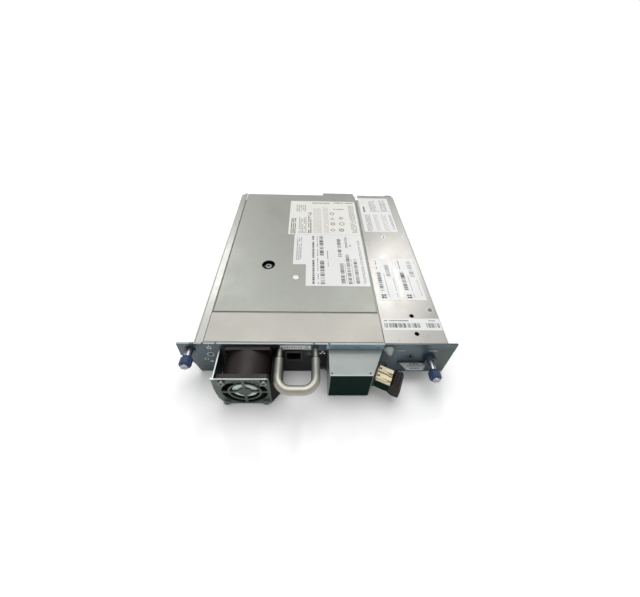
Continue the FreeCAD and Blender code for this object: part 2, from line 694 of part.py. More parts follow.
def make_supply_hub():
    """Rotor with the face teeth that grip a cartridge's reel."""
    x, y = hub_xy
    low = floor_z + 2.9
    disc = turned([(0.0, floor_z + 0.3), (spindle_r, floor_z + 0.3), (spindle_r, low), (hub_r, low),
                   (hub_r, low + 1.3), (hub_r - 2.0, low + 2.0), (6.0, low + 2.0), (4.5, low + 3.8), (0.0, low + 3.8)],
                  x, y)
    teeth = []
    for step in range(12):
        angle = math.radians(30.0 * step)
        tooth = prism([(-1.1, low + 1.9), (1.1, low + 1.9), (0.4, low + 3.2), (-0.4, low + 3.2)], "y",
                      (hub_r - 8.0, hub_r - 4.0))
        tooth.rotate(Vector(0, 0, 0), Vector(0, 0, 1), math.degrees(angle))
        tooth.translate(Vector(x, y, 0))
        teeth.append(tooth)
    return joined(disc, *teeth)


def make_takeup_motor():
    x, y = access_xy
    low, high = floor_z, reel_z - 2.6
    return turned([(spindle_r + run_gap, low), (motor_r + 4.0, low), (motor_r + 4.0, low + 1.6),
                   (motor_r, low + 1.6), (motor_r, high), (spindle_r + run_gap, high)], x, y)


def make_takeup_reel():
    x, y = access_xy
    bottom = reel_z
    inner = bottom + reel_flange
    upper = inner + reel_gap
    top = upper + reel_flange
    reel = turned([(0.0, floor_z + 0.4), (spindle_r, floor_z + 0.4), (spindle_r, bottom - 2.0), (8.0, bottom - 2.0),
                   (8.0, bottom), (reel_r, bottom), (reel_r, inner), (reel_hub_r, inner), (reel_hub_r, upper),
                   (reel_r, upper), (reel_r, top), (reel_hub_r - 6.0, top), (6.2, top + 2.0), (6.2, top + 6.0),
                   (0.0, top + 6.0)], x, y)
    cuts = []
    for step in range(3):
        angle = math.radians(30.0 + 120.0 * step)
        spot = (x + 5.0 * math.cos(angle), y + 5.0 * math.sin(angle))
        cuts.append(rod(1.7, (*spot, top + 3.0), (*spot, top + 7.0)))
        window = (x + 30.0 * math.cos(angle), y + 30.0 * math.sin(angle))
        cuts.append(rod(6.0, (*window, upper - 1.0), (*window, top + 1.0)))
    leader_slot = box((x, x + reel_hub_r + 1.0), (y - 9.0, y - 4.0), (inner + 0.01, upper - 0.01))
    leader_slot.rotate(Vector(x, y, 0), Vector(0, 0, 1), -60.0)
    return reel.cut(cuts + [leader_slot])


# Tape path

def make_guide_roller(x, y):
    """Flanged guide roller that turns on its pin."""
    r, low, high = roller_r, roller_z, roller_z + roller_h
    bore = 1.5 + run_gap
    return turned([(bore, low), (r, low), (r, low + 0.8), (r - 1.2, low + 1.1), (r - 1.2, high - 1.1), (r, high - 0.8),
                   (r, high), (bore, high)], x, y)


def make_roller_pins():
    pins = []
    for x, y in roller_places():
        low = floor_z - 1.5
        pins.append(turned([(0.0, low), (1.5, low), (1.5, floor_z), (2.6, floor_z), (2.6, roller_z - 0.3),
                            (1.5, roller_z - 0.3), (1.5, roller_z + roller_h + 0.4), (2.4, roller_z + roller_h + 0.4),
                            (2.4, roller_z + roller_h + 1.2), (0.0, roller_z + roller_h + 1.2)], x, y))
    return Part.makeCompound(pins)


def head_centre():
    return arm_pivot[0] + roller_ring - 8.5, arm_pivot[1]


def make_head_block():
    """Head that shifts up and down across the tape between two rods."""
    x, y = head_centre()
    long, wide, tall = head_size
    middle_z = roller_z + roller_h / 2.0 - head_drop
    block = box((x - long / 2.0, x + long / 2.0), (y - wide / 2.0, y + wide / 2.0),
                (middle_z - tall / 2.0, middle_z + tall / 2.0))
    block = rounded(block, 2.0, "z", lambda middle: middle.x > x)
    grooves = [box((x + long / 2.0 - 0.5, x + long / 2.0 + 1.0), (y + shift - 0.4, y + shift + 0.4),
                   (middle_z - tall, middle_z + tall)) for shift in (-2.2, 0.0, 2.2)]
    bores = [rod(1.0 + run_gap, (x - 2.5, y + shift, middle_z - tall), (x - 2.5, y + shift, middle_z + tall))
             for shift in (-3.6, 3.6)]
    return block.cut(grooves + bores)


def make_head_actuator():
    """Fixed bracket, guide rods and coil body of the head actuator."""
    x, y = head_centre()
    long, wide, _ = head_size
    back = x - long / 2.0 - seat_gap
    top = roller_z + roller_h + 6.5
    bracket = folded([(back + 8.0, floor_z), (back - 2.0, floor_z), (back - 2.0, top), (back + 6.0, top)][::-1],
                     "y", (y - wide / 2.0 - 1.0, y + wide / 2.0 + 1.0), 1.6)
    rods = [rod(1.0, (x - 2.5, y + shift, floor_z + 1.0), (x - 2.5, y + shift, top - 0.5)) for shift in (-3.6, 3.6)]
    return joined(bracket, *rods)


def make_threader_arm():
    x, y = arm_pivot
    low, high = arm_z, arm_z + arm_t
    bar = prism([(0.0, -4.0), (arm_r, -2.6), (arm_r, 2.6), (0.0, 4.0)], "z", (low, high))
    ends = [rod(5.0, (0, 0, low), (0, 0, high)), rod(3.2, (arm_r, 0, low), (arm_r, 0, high)),
            rod(4.6, (0, 0, low - 2.0), (0, 0, high)),
            rod(2.0, (arm_r, 0, roller_z + 3.0), (arm_r, 0, low)),
            rod(2.6, (arm_r, 0, roller_z + 2.0), (arm_r, 0, roller_z + 5.0))]
    arm = joined(bar, *ends)
    holes = [rod(3.0 + run_gap, (0, 0, low - 3.0), (0, 0, high + 1.0))]
    holes += [rod(2.0, (shift, 0, low - 1.0), (shift, 0, high + 1.0)) for shift in (13.0, 21.0)]
    arm = arm.cut(holes)
    arm.rotate(Vector(0, 0, 0), Vector(0, 0, 1), arm_rest)
    arm.translate(Vector(x, y, 0))
    return arm


def make_threader_post():
    x, y = arm_pivot
    low = floor_z - 1.5
    seat = arm_z - 2.0 - seat_gap
    return turned([(0.0, low), (3.0, low), (3.0, floor_z), (4.6, floor_z), (4.6, seat), (3.0, seat),
                   (3.0, arm_z + arm_t + 0.4), (4.2, arm_z + arm_t + 0.4), (4.2, arm_z + arm_t + 1.4),
                   (0.0, arm_z + arm_t + 1.4)], x, y)


# Circuit boards

def make_drive_board():
    board = box(drive_board_x, drive_board_y, (drive_board_z, drive_board_z + board_t))
    board = rounded(board, 2.0, "z")
    holes = [rod(1.4, (x, y, drive_board_z - 1.0), (x, y, drive_board_z + 3.0)) for x, y in drive_board_screws()]
    return board.cut(holes)


def chip(x, y, z, height):
    """Moulded package with a small pin-one dimple."""
    body = box(x, y, (z, z + height))
    return body.cut(rod(0.6, (x[0] + 1.6, y[0] + 1.6, z + height - 0.3), (x[0] + 1.6, y[0] + 1.6, z + height + 1.0)))


def make_drive_chips():
    top = drive_board_z + board_t
    low_x, high_x = drive_board_x
    low_y, high_y = drive_board_y
    chips = [chip((low_x + 10.0 + 15.0 * step, low_x + 20.0 + 15.0 * step), (low_y + 12.0, low_y + 22.0), top, 1.6)
             for step in range(3)]
    plug = box((low_x + 14.0, high_x - 14.0), (low_y + 0.4, low_y + 6.0), (top, top + 5.0))
    plug = plug.cut(box((low_x + 16.0, high_x - 16.0), (low_y + 1.4, low_y + 5.0), (top + 1.0, top + 6.0)))
    return Part.makeCompound(chips + [plug])


def bay_board_screws():
    low_x, high_x = bay_board_x
    low_y, high_y = bay_board_y
    return [(x, y) for x in (low_x + 3.5, high_x - 3.5) for y in (low_y + 8.0, (low_y + high_y) / 2.0, high_y - 8.0)]


def make_controller_board():
    board = box(bay_board_x, bay_board_y, (bay_board_z, bay_board_z + board_t))
    board = rounded(board, 1.5, "z")
    holes = [rod(screw_r, (x, y, bay_board_z - 1.0), (x, y, bay_board_z + 3.0)) for x, y in bay_board_screws()]
    return board.cut(holes)


def make_board_standoffs():
    posts = []
    for x, y in bay_board_screws():
        foot = sheet + 1.0 if x < partition_x + 12.5 else sheet
        post = joined(rod(2.6, (x, y, foot), (x, y, bay_board_z)),
                      rod(screw_r - run_gap, (x, y, bay_board_z), (x, y, bay_board_z + board_t)),
                      rod(2.4, (x, y, bay_board_z + board_t), (x, y, bay_board_z + board_t + 1.2)))
        posts.append(post)
    return Part.makeCompound(posts)


def make_board_components():
    """Capacitors and chips on the sled's controller board."""
    top = bay_board_z + board_t
    middle = (bay_board_x[0] + bay_board_x[1]) / 2.0
    parts = [chip((middle - 6.0, middle + 6.0), (y, y + 12.0), top, 1.8) for y in board_chip_y]
    parts += [rod(3.0, (middle + shift, capacitor_y, top), (middle + shift, capacitor_y, top + 11.0))
              for shift in (-7.5, 0.0, 7.5)]
    return Part.makeCompound(parts)


def make_power_converter():
    """Brick converter with a finned heat sink."""
    top = bay_board_z + board_t
    middle = (bay_board_x[0] + bay_board_x[1]) / 2.0
    x = (middle - 9.5, middle + 9.5)
    y = converter_y
    brick = box(x, y, (top, top + 10.0))
    fins = [box((x[0] + 0.5 + 3.0 * step, x[0] + 1.7 + 3.0 * step), y, (top + 9.5, top + 18.0)) for step in range(7)]
    return joined(brick, *fins)


def make_docking_connector():
    """Blind-mate connector that meets the library's backplane."""
    wide, deep, tall = dock_size
    middle = (bay_board_x[0] + bay_board_x[1]) / 2.0
    top = bay_board_z + board_t
    far = tray_d + 3.0
    y = (far - deep, far)
    body = box((middle - wide / 2.0, middle + wide / 2.0), y, (top, top + tall))
    socket = box((middle - wide / 2.0 + 5.0, middle + wide / 2.0 - 5.0), (far - 8.0, far + 1.0), (top + 2.5, top + tall - 2.5))
    tongue = box((middle - wide / 2.0 + 7.0, middle + wide / 2.0 - 7.0), (far - 8.5, far - 1.0),
                 (top + tall / 2.0 - 0.9, top + tall / 2.0 + 0.9))
    guides = [rod(1.7, (middle + shift, far - 1.0, top + tall / 2.0), (middle + shift, far + 4.0, top + tall / 2.0))
              for shift in (-wide / 2.0 + 2.4, wide / 2.0 - 2.4)]
    return joined(body.cut(socket), tongue, *guides)


def make_guide_rail():
    """Plastic runner under the cover's overhang, with a lead-in nose."""
    low, high = ledge_z + sheet + seat_gap, top_under
    nose_far = rail_y[1] + rail_nose
    side = [(rail_y[0], low), (rail_y[1], low), (nose_far, low + 3.2), (nose_far, high - 0.6), (rail_y[1] + 6.5, high),
            (rail_y[0], high)]
    rail = prism(side, "x", rail_x)
    groove = box((rail_x[0] + 2.4, rail_x[1] - 2.4), (rail_y[0] + 16.0, rail_y[1] - 10.0), (low - 1.0, low + 2.2))
    holes = [rod(screw_r, (x, y, high - 5.0), (x, y, high + 1.0)) for x, y in rail_screws]
    return rail.cut([groove] + holes)


def make_cover_screws():
    screws = [flat_screw(x, y, chassis_h - screw_sink, 5.0) for x, y in rail_screws]
    screws.append(flat_screw(*bay_tab_screw, chassis_h - screw_sink, 3.0))
    return Part.makeCompound(screws)


def make_base_screws():
    """Screws that hold the tape drive to the tray's floor, heads below."""
    screws = []
    for x, y in base_screws:
        head = cone(screw_head_r - 0.15, screw_r, (x, y, screw_sink), (x, y, screw_head_h))
        screws.append(joined(head, rod(screw_r - run_gap, (x, y, 0.5 * screw_head_h), (x, y, floor_z + 1.2))))
    return Part.makeCompound(screws)


# Cooling fan and its bracket

def make_fan_housing():
    half = fan_w / 2.0
    wide = (fan_x - half, fan_x + half)
    tall = (fan_z - half, fan_z + half)
    flanges = [rounded(box(wide, (low, low + fan_flange), tall), 2.6, "y") for low in (-fan_d, -fan_flange)]
    barrel = rod(half - 0.05, (fan_x, -fan_d + 1.0, fan_z), (fan_x, -1.0, fan_z))
    housing = joined(flanges[0], flanges[1], barrel)
    bore = rod(fan_bore_r, (fan_x, -fan_d - 1.0, fan_z), (fan_x, 1.0, fan_z))
    holes = [rod(2.15, (x, -fan_d - 1.0, z), (x, 1.0, z)) for x, z in fan_corners()]
    housing = housing.cut([bore] + holes)
    disc = rod(fan_hub_r, (fan_x, -3.6, fan_z), (fan_x, -1.0, fan_z))
    struts = []
    for step in range(3):
        strut = box((fan_hub_r - 2.0, fan_bore_r + 0.5), (-3.2, -1.2), (-1.1, 1.1))
        strut.rotate(Vector(0, 0, 0), Vector(0, 1, 0), 30.0 + 120.0 * step)
        strut.translate(Vector(fan_x, 0, fan_z))
        struts.append(strut)
    return joined(housing, disc, *struts)


def blade_section(distance, twist, chord, middle_y):
    """Cambered blade outline in a plane square to the blade's radius."""
    slope = math.radians(twist)
    curve = []
    for share, bow in ((-0.5, 0.0), (0.0, 0.9), (0.5, 0.0)):
        along = share * chord
        curve.append((along * math.cos(slope) + bow * math.sin(slope),
                      along * math.sin(slope) - bow * math.cos(slope)))
    back = [(a + 0.7 * math.sin(slope), b - 0.7 * math.cos(slope)) for a, b in reversed(curve)]
    corners = [Vector(distance, middle_y + b, a) for a, b in curve + back]
    return Part.makePolygon(corners + corners[:1])


def make_fan_rotor():
    front = -fan_d + 1.6
    back = -5.2
    wall = fan_hub_r - 1.2
    profile = [(0.0, front), (fan_hub_r - 1.0, front), (fan_hub_r, front + 1.0), (fan_hub_r, back), (wall, back),
               (wall, front + 1.4), (1.0, front + 1.4), (1.0, back + 1.0), (0.0, back + 1.0)]
    corners = [Vector(fan_x + radius, y, fan_z) for radius, y in profile]
    face = Part.Face(Part.makePolygon(corners + corners[:1]))
    cup = face.revolve(Vector(fan_x, 0, fan_z), Vector(0, 1, 0), 360)
    middle = (front + back) / 2.0
    blades = []
    for step in range(fan_blades):
        root = blade_section(wall + 0.5, 52.0, 12.0, middle)
        tip = blade_section(fan_bore_r - 1.9, 38.0, 13.0, middle)
        blade = Part.makeLoft([root, tip], True, True)
        blade.rotate(Vector(0, 0, 0), Vector(0, 1, 0), 360.0 * step / fan_blades)
        blade.translate(Vector(fan_x, 0, fan_z))
        blades.append(blade)
    return joined(cup, *blades)


def make_fan_stator():
    """Wound core and bearing tube inside the rotor's cup."""
    sleeve = rod(2.4, (fan_x, -fan_d + 4.0, fan_z), (fan_x, -3.6, fan_z))
    core = rod(fan_hub_r - 2.2, (fan_x, -fan_d + 7.0, fan_z), (fan_x, -8.0, fan_z))
    bore = rod(1.0 + run_gap, (fan_x, -fan_d, fan_z), (fan_x, 0.0, fan_z))
    slots = []
    for step in range(4):
        slot = box((5.0, fan_hub_r), (-fan_d + 6.0, -7.0), (-0.7, 0.7))
        slot.rotate(Vector(0, 0, 0), Vector(0, 1, 0), 45.0 + 90.0 * step)
        slot.translate(Vector(fan_x, 0, fan_z))
        slots.append(slot)
    return joined(sleeve, core).cut([bore] + slots)


def make_fan_guard():
    """Folded bracket: a finger guard in front of the fan and a wall on its left."""
    front = -fan_d - guard_t
    low = fan_z - fan_w / 2.0
    high = fan_z + fan_w / 2.0
    path = [(guard_x[0], -0.05), (guard_x[0], front), (guard_x[1], front)]
    guard = folded(path, "z", (low, high), guard_t)
    wall_top = box((guard_x[0] - 1.0, guard_x[0] + 3.0), (-fan_d + 0.5, 1.0), (35.0, high + 1.0))
    wall_foot = prism([(-fan_d + 0.2, 24.0), (1.0, 6.0), (1.0, low - 1.0), (-fan_d + 0.2, low - 1.0)],
                      "x", (guard_x[0] - 1.0, guard_x[0] + 3.0))
    chamfer = prism([(guard_x[0] - 1.0, 28.0), (guard_x[0], 28.0), (guard_x[0] + 2.4, 10.0), (guard_x[0] + 6.6, low),
                     (guard_x[0] + 6.6, low - 1.0), (guard_x[0] - 1.0, low - 1.0)],
                    "y", (front - 1.0, -fan_d + 0.25))
    through = ((fan_x, front - 1.0, fan_z), (fan_x, -fan_d + 1.0, fan_z))
    rings = rod(fan_bore_r - 0.3, *through).cut(rod(13.6, *through))
    spokes = []
    for step in range(4):
        spoke = box((guard_hub_r - 1.0, fan_bore_r + 1.0), (front - 1.0, -fan_d + 1.0), (-1.1, 1.1))
        spoke.rotate(Vector(0, 0, 0), Vector(0, 1, 0), 90.0 * step)
        spoke.translate(Vector(fan_x, 0, fan_z))
        spokes.append(spoke)
    rings = rings.cut(spokes)
    eye = rod(11.9, *through).cut([rod(guard_hub_r, *through)] + spokes)
    holes = [rod(1.7, (x, front - 1.0, z), (x, -fan_d + 1.0, z)) for x, z in fan_corners()]
    guard = guard.cut([wall_top, wall_foot, chamfer, rings, eye] + holes)
    return rounded(guard, 2.4, "y", lambda middle: middle.x > guard_x[1] - 0.1)


def make_fan_screws():
    screws = []
    front = -fan_d - guard_t
    for x, z in fan_corners():
        head = rod(2.8, (x, front - 1.7, z), (x, front, z))
        shank = rod(screw_r - run_gap, (x, front, z), (x, -fan_d + fan_flange - 0.2, z))
        cross = [box((x - a, x + a), (front - 2.0, front - 0.9), (z - b, z + b)) for a, b in ((1.6, 0.35), (0.35, 1.6))]
        screws.append(joined(head, shank).cut(cross))
    return Part.makeCompound(screws)


# Fixed handle

def make_handle():
    left, right = handle_x
    z = handle_z
    start = -handle_neck
    straight = -(handle_reach - handle_bend)
    legs = [rod(handle_r, (x, straight, z), (x, start, z)) for x in handle_x]
    grip = rod(handle_r, (left + handle_bend, -handle_reach, z), (right - handle_bend, -handle_reach, z))
    bends = []
    for x, middle, turn in ((left, left + handle_bend, 90), (right, right - handle_bend, -90)):
        ring = Part.Face(Part.Wire(Part.makeCircle(handle_r, Vector(x, straight, z), Vector(0, 1, 0))))
        bends.append(ring.revolve(Vector(middle, straight, z), Vector(0, 0, 1), turn))
    ends = []
    for x in handle_x:
        ends.append(rod(handle_neck_r, (x, start - 0.5, z), (x, panel_t + 4.5, z)))
        ends.append(cone(handle_r, handle_neck_r, (x, start, z), (x, start + 1.4, z)))
    return joined(grip, *legs, *bends, *ends)


def make_handle_nuts():
    nuts = []
    for x in handle_x:
        corners = [(x + 4.0 * math.cos(math.radians(60.0 * step)), handle_z + 4.0 * math.sin(math.radians(60.0 * step)))
                   for step in range(6)]
        nut = prism(corners, "y", (panel_t, panel_t + 2.6))
        nuts.append(nut.cut(rod(handle_neck_r, (x, 0.0, handle_z), (x, 6.0, handle_z))))
    return Part.makeCompound(nuts)


# Interface hood, optical port and its plug

def hood_outline():
    return [(hood_x[0], 0.0), (hood_x[0], -hood_reach), (hood_tip_x, -hood_reach), (hood_x[1], 0.0)]


def at_port(shape):
    """Place a shape drawn with +X out of the hood's slanted wall and +Y towards the panel."""
    wall = Vector(hood_tip_x - hood_x[1], -hood_reach, 0).normalize()
    spot = Vector(hood_x[1], 0, 0) + wall * plug_along
    shape.rotate(Vector(0, 0, 0), Vector(0, 0, 1), math.degrees(math.atan2(wall.x, -wall.y)))
    shape.translate(spot)
    return shape


def make_hood():
    low, high = hood_z
    corners = [Vector(x, y, low) for x, y in hood_outline()]
    outer_face = Part.Face(Part.makePolygon(corners + corners[:1]))
    shell = outer_face.extrude(Vector(0, 0, high - low))
    room = outer_face.makeOffset2D(-hood_t).extrude(Vector(0, 0, high - low - 2.0 * hood_t))
    room.translate(Vector(0, 0, hood_t))
    back = box((hood_x[0] + hood_t + 0.6, hood_x[1] - 2.0 * hood_t - 0.6), (-2.0 * hood_t, 1.0),
               (low + hood_t, high - hood_t))
    window = at_port(box((-3.0, 3.0), port_wide(0.1), (plug_z[0] - 1.1, plug_z[1] + 1.1)))
    holes = [rod(0.7, (x, -hood_reach + 1.9, high - 3.0), (x, -hood_reach + 1.9, high + 1.0))
             for x in (hood_x[0] + 1.9, hood_tip_x - 2.2)]
    hood = shell.cut([room, back, window] + holes)
    return rounded(hood, 0.9, "z", lambda middle: middle.y < -hood_reach + 0.1)


def port_wide(room):
    half = plug_w / 2.0 + 0.7 + room
    return -half, half


def make_optical_port():
    low, high = plug_z[0] - 1.0, plug_z[1] + 1.0
    cage = box((-20.0, 1.4), port_wide(0.0), (low, high))
    socket = box((-11.0, 3.0), (-nose_half() - 0.15, nose_half() + 0.15), (plug_z[0] + 1.6, plug_z[1] - 1.6))
    return at_port(cage.cut(socket))


def nose_half():
    return plug_w / 2.0 - 1.2


def make_plug_body():
    """Duplex plug with two latch arms and a nose in the port."""
    half = plug_w / 2.0
    low, high = plug_z
    far = plug_stand + plug_len
    body = box((plug_stand, far), (-half, half), (low, high - 1.4))
    rails = [box((plug_stand, far - 3.0), (side * half / 2.0 - 2.6, side * half / 2.0 + 2.6), (high - 1.5, high - 0.2))
             for side in (-1.0, 1.0)]
    latches = []
    for side in (-1.0, 1.0):
        arm = prism([(plug_stand + 1.0, high - 0.3), (far - 1.0, high + 1.2), (far, high + 1.2), (far, high - 0.4),
                     (plug_stand + 1.0, high - 1.0)], "y", (side * half / 2.0 - 1.3, side * half / 2.0 + 1.3))
        latches.append(arm)
    nose = box((-8.0, plug_stand + 0.5), (-nose_half(), nose_half()), (low + 1.8, high - 1.8))
    split = box((plug_stand - 12.0, far + 1.0), (-0.5, 0.5), (high - 3.0, high + 2.0))
    notches = [box((plug_stand - 1.0, plug_stand + 2.2), (side * half / 2.0 - 0.9, side * half / 2.0 + 0.9),
                   (high - 2.4, high + 1.0)) for side in (-1.0, 1.0)]
    body = joined(body, nose, *rails, *latches).cut([split] + notches)
    return at_port(body)


def make_plug_shell():
    """Dark housing on the plug's outer end that closes the loop."""
    half = plug_w / 2.0
    low, high = plug_z
    near = plug_stand + plug_len
    side = [(near, low - 1.0), (near, high - 3.0), (near + 2.0, high + 1.0), (near + 7.0, high + 1.0),
            (near + 8.8, high - 4.0), (near + 8.8, low - 3.0), (near + 2.5, low - 3.0)]
    shell = prism(side, "y", (-half - 0.4, half + 0.2))
    shell = rounded(shell, 1.2, "y")
    groove = box((near + 3.0, near + 4.6), (-half - 1.0, half + 1.0), (high - 0.2, high + 2.0))
    return at_port(shell.cut(groove))


def make_port_cap():
    """Soft conical cap over a small port in the panel."""
    x, z = cap_xz
    skirt = rod(cap_r, (x, -1.0, z), (x, 0.0, z))
    cap = cone(cap_r, 0.45 * cap_r, (x, -1.0, z), (x, 1.0 - cap_reach, z))
    tip = cone(0.45 * cap_r, 0.25 * cap_r, (x, 1.0 - cap_reach, z), (x, -cap_reach, z))
    stem = rod(cap_r / 2.0, (x, -1.0, z), (x, panel_t - 0.1, z))
    return joined(skirt, cap, tip, stem)


# Network jack

def make_ethernet_jack():
    middle = (jack_x[0] + jack_x[1]) / 2.0
    low = jack_z[0] + 3.2
    body = box(jack_x, (-0.5, jack_d), jack_z)
    flange = box((jack_x[0] - 1.0, jack_x[1] + 1.0), (panel_t, panel_t + 1.0), (jack_z[0] - 1.2, jack_z[1] + 0.6))
    socket = box((middle - socket_w / 2.0, middle + socket_w / 2.0), (-1.0, socket_d - 0.5), (low, low + socket_h))
    keyway = box((middle - 3.1, middle + 3.1), (-1.0, socket_d - 3.0), (low - 1.6, low + 0.1))
    return joined(body, flange).cut([socket, keyway])


# Captive thumbscrews

def around_y(profile, x, z):
    """Solid of revolution about a line along Y; the profile is radius and Y."""
    corners = [Vector(x + radius, y, z) for radius, y in profile]
    face = Part.Face(Part.makePolygon(corners + corners[:1]))
    return face.revolve(Vector(x, 0, z), Vector(0, 1, 0), 360)


def make_knob(place, inner_y):
    """Coloured cap with finger flutes."""
    x, z = place
    outer = inner_y - knob_len
    bore = stud_r - 0.2
    knob = around_y([(bore, inner_y), (knob_r - 1.4, inner_y), (knob_r, inner_y - 1.8), (knob_r, outer + 1.0),
                     (knob_r - 1.0, outer), (bore, outer)], x, z)
    flutes = []
    for step in range(10):
        angle = math.radians(36.0 * step)
        spot = (x + (knob_r + 0.75) * math.cos(angle), z + (knob_r + 0.75) * math.sin(angle))
        flutes.append(rod(1.1, (spot[0], outer - 1.0, spot[1]), (spot[0], inner_y - 1.6, spot[1])))
    return knob.cut(flutes)


def make_stud(place, inner_y, sleeve_len, thread_y):
    """Slotted screw: shoulder sleeve in front of the panel, neck for the retainer, threaded end."""
    x, z = place
    outer = inner_y - knob_len
    start, end = thread_y
    stud = around_y([(0.0, outer - 1.2), (2.9, outer - 1.2), (3.3, outer - 0.8), (3.3, outer), (stud_r - 0.2, outer),
                     (stud_r - 0.2, inner_y), (sleeve_r, inner_y), (sleeve_r, inner_y + sleeve_len),
                     (stud_neck_r, inner_y + sleeve_len), (stud_neck_r, start), (stud_r, start),
                     (stud_r, end - 0.5), (stud_r - 0.5, end), (0.0, end)], x, z)
    return stud.cut(box((x - 4.0, x + 4.0), (outer - 2.0, outer - 0.3), (z - 0.5, z + 0.5)))


def make_collar(place, radius, length):
    x, z = place
    ring = rod(radius, (x, -length, z), (x, 0.0, z))
    return ring.cut(rod(sleeve_r + seat_gap, (x, -length - 1.0, z), (x, 1.0, z)))


def make_retainer(place, near_y):
    x, z = place
    disc = rod(sleeve_r + 0.8, (x, near_y, z), (x, near_y + retainer_t, z))
    return disc.cut(rod(stud_neck_r + run_gap, (x, near_y - 1.0, z), (x, near_y + 3.0, z)))


def retainer_y(number):
    """Near face of a captive screw's retainer."""
    return panel_t + retainer_gap[number]


def thread_y(number, end):
    """Where a captive screw's thread starts, just behind its retainer, and where it ends."""
    return retainer_y(number) + retainer_t + 0.2, end


pieces = {
    "sled_tray": make_sled_tray,
    "rear_panel": make_rear_panel,
    "front_cover": make_front_cover,
    "bay_cover": make_bay_cover,
    "bay_partition": make_bay_partition,
    "bay_shelf": make_bay_shelf,
    "guide_rail": make_guide_rail,
    "cover_screws": make_cover_screws,
    "fan_duct": make_fan_duct,
    "base_screws": make_base_screws,
    "indicator_lenses": make_indicator_lenses,
    "drive_base": make_drive_base,
    "drive_cover": make_drive_cover,
    "cover_rivet": make_cover_rivet,
    "mouth_frame": make_mouth_frame,
    "mouth_door": make_mouth_door,
    "loader_carriage": make_loader_carriage,
    "loader_gear": make_loader_gear,
    "loader_motor": make_loader_motor,
    "supply_motor": make_supply_motor,
    "supply_hub": make_supply_hub,
    "takeup_motor": make_takeup_motor,
    "takeup_reel": make_takeup_reel,
    "roller_pins": make_roller_pins,
    "head_block": make_head_block,
    "head_actuator": make_head_actuator,
    "threader_arm": make_threader_arm,
    "threader_post": make_threader_post,
    "drive_board": make_drive_board,
    "drive_chips": make_drive_chips,
    "controller_board": make_controller_board,
    "board_standoffs": make_board_standoffs,
    "board_components": make_board_components,
    "power_converter": make_power_converter,
    "docking_connector": make_docking_connector,
    "fan_housing": make_fan_housing,
    "fan_rotor": make_fan_rotor,
    "fan_stator": make_fan_stator,
    "fan_guard": make_fan_guard,
    "fan_screws": make_fan_screws,
    "handle": make_handle,
    "handle_nuts": make_handle_nuts,
    "interface_hood": make_hood,
    "optical_port": make_optical_port,
    "plug_body": make_plug_body,
    "plug_shell": make_plug_shell,
    "port_cap": make_port_cap,
    "ethernet_jack": make_ethernet_jack,
    "knob_left": lambda: make_knob(screw_left, knob_left_y),
    "knob_right": lambda: make_knob(screw_right, knob_right_y),
    "stud_left": lambda: make_stud(screw_left, knob_left_y, sleeve_lens[0], thread_y(0, stud_left_end)),
    "stud_right": lambda: make_stud(screw_right, knob_right_y, sleeve_lens[1], thread_y(1, stud_right_end)),
    "collar_left": lambda: make_collar(screw_left, collar_r[0], collar_len[0]),
    "collar_right": lambda: make_collar(screw_right, collar_r[1], collar_len[1]),
    "retainer_left": lambda: make_retainer(screw_left, retainer_y(0)),
    "retainer_right": lambda: make_retainer(screw_right, retainer_y(1)),
}
for number, (x, y) in enumerate(roller_places(), 1):
    pieces["guide_roller_%d" % number] = lambda x=x, y=y: make_guide_roller(x, y)

os.makedirs("parts", exist_ok=True)
for name, make in pieces.items():
    shape = make()
    shape.translate(origin * -1)
    shape.exportStep("parts/%s.step" % name)
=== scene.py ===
# %% [markdown]
# A tape drive in its library sled, dressed for a photograph.
#
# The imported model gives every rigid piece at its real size. This lesson adds what a solid model
# leaves out: the finish of each metal and plastic, the stickers with their rows of fine marks, the
# printed marks on the panel, and small trim such as contacts, notches and a wire bail. Repeats are
# made with Geometry Nodes, and everything is in metres in the model's own frame.

# %% Load the frame
import math
import bmesh
import bpy
from mathutils import Matrix, Vector


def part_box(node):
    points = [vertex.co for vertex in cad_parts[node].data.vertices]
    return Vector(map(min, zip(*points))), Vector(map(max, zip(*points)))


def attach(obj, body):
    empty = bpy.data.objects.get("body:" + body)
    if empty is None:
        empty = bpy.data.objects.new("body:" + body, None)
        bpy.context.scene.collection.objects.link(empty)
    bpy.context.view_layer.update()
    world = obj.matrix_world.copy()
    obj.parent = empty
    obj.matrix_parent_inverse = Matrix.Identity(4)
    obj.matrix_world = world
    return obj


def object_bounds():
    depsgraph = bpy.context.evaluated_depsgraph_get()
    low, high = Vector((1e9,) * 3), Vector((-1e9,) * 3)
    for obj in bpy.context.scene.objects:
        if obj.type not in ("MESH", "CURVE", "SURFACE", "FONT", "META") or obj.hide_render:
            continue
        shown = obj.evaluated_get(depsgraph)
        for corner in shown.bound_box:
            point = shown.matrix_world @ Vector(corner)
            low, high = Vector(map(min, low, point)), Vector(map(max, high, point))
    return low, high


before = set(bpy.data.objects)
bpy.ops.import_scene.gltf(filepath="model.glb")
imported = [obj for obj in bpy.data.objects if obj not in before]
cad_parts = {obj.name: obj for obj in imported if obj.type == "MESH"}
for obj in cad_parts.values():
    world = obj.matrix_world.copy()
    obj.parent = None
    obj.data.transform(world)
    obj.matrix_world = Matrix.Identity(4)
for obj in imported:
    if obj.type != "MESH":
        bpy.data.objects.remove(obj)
cad_low, cad_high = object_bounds()
print("CAD box, mm:", [round(1000 * v, 1) for v in (cad_high - cad_low)])

# %% [markdown]
# The pieces were drawn with the rear panel's outer face at y = 0 and the tray's left wall at
# x = 0. The tray's low corner and the panel's thickness give that origin back, so a place can be
# written in the same millimetres as on a drawing of the sled.

# %% Places in drawing millimetres
MM = 0.001
panel_thick = 1.5
tray_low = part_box("sled_tray")[0]
corner = Vector((tray_low.x, tray_low.y - panel_thick * MM, tray_low.z))


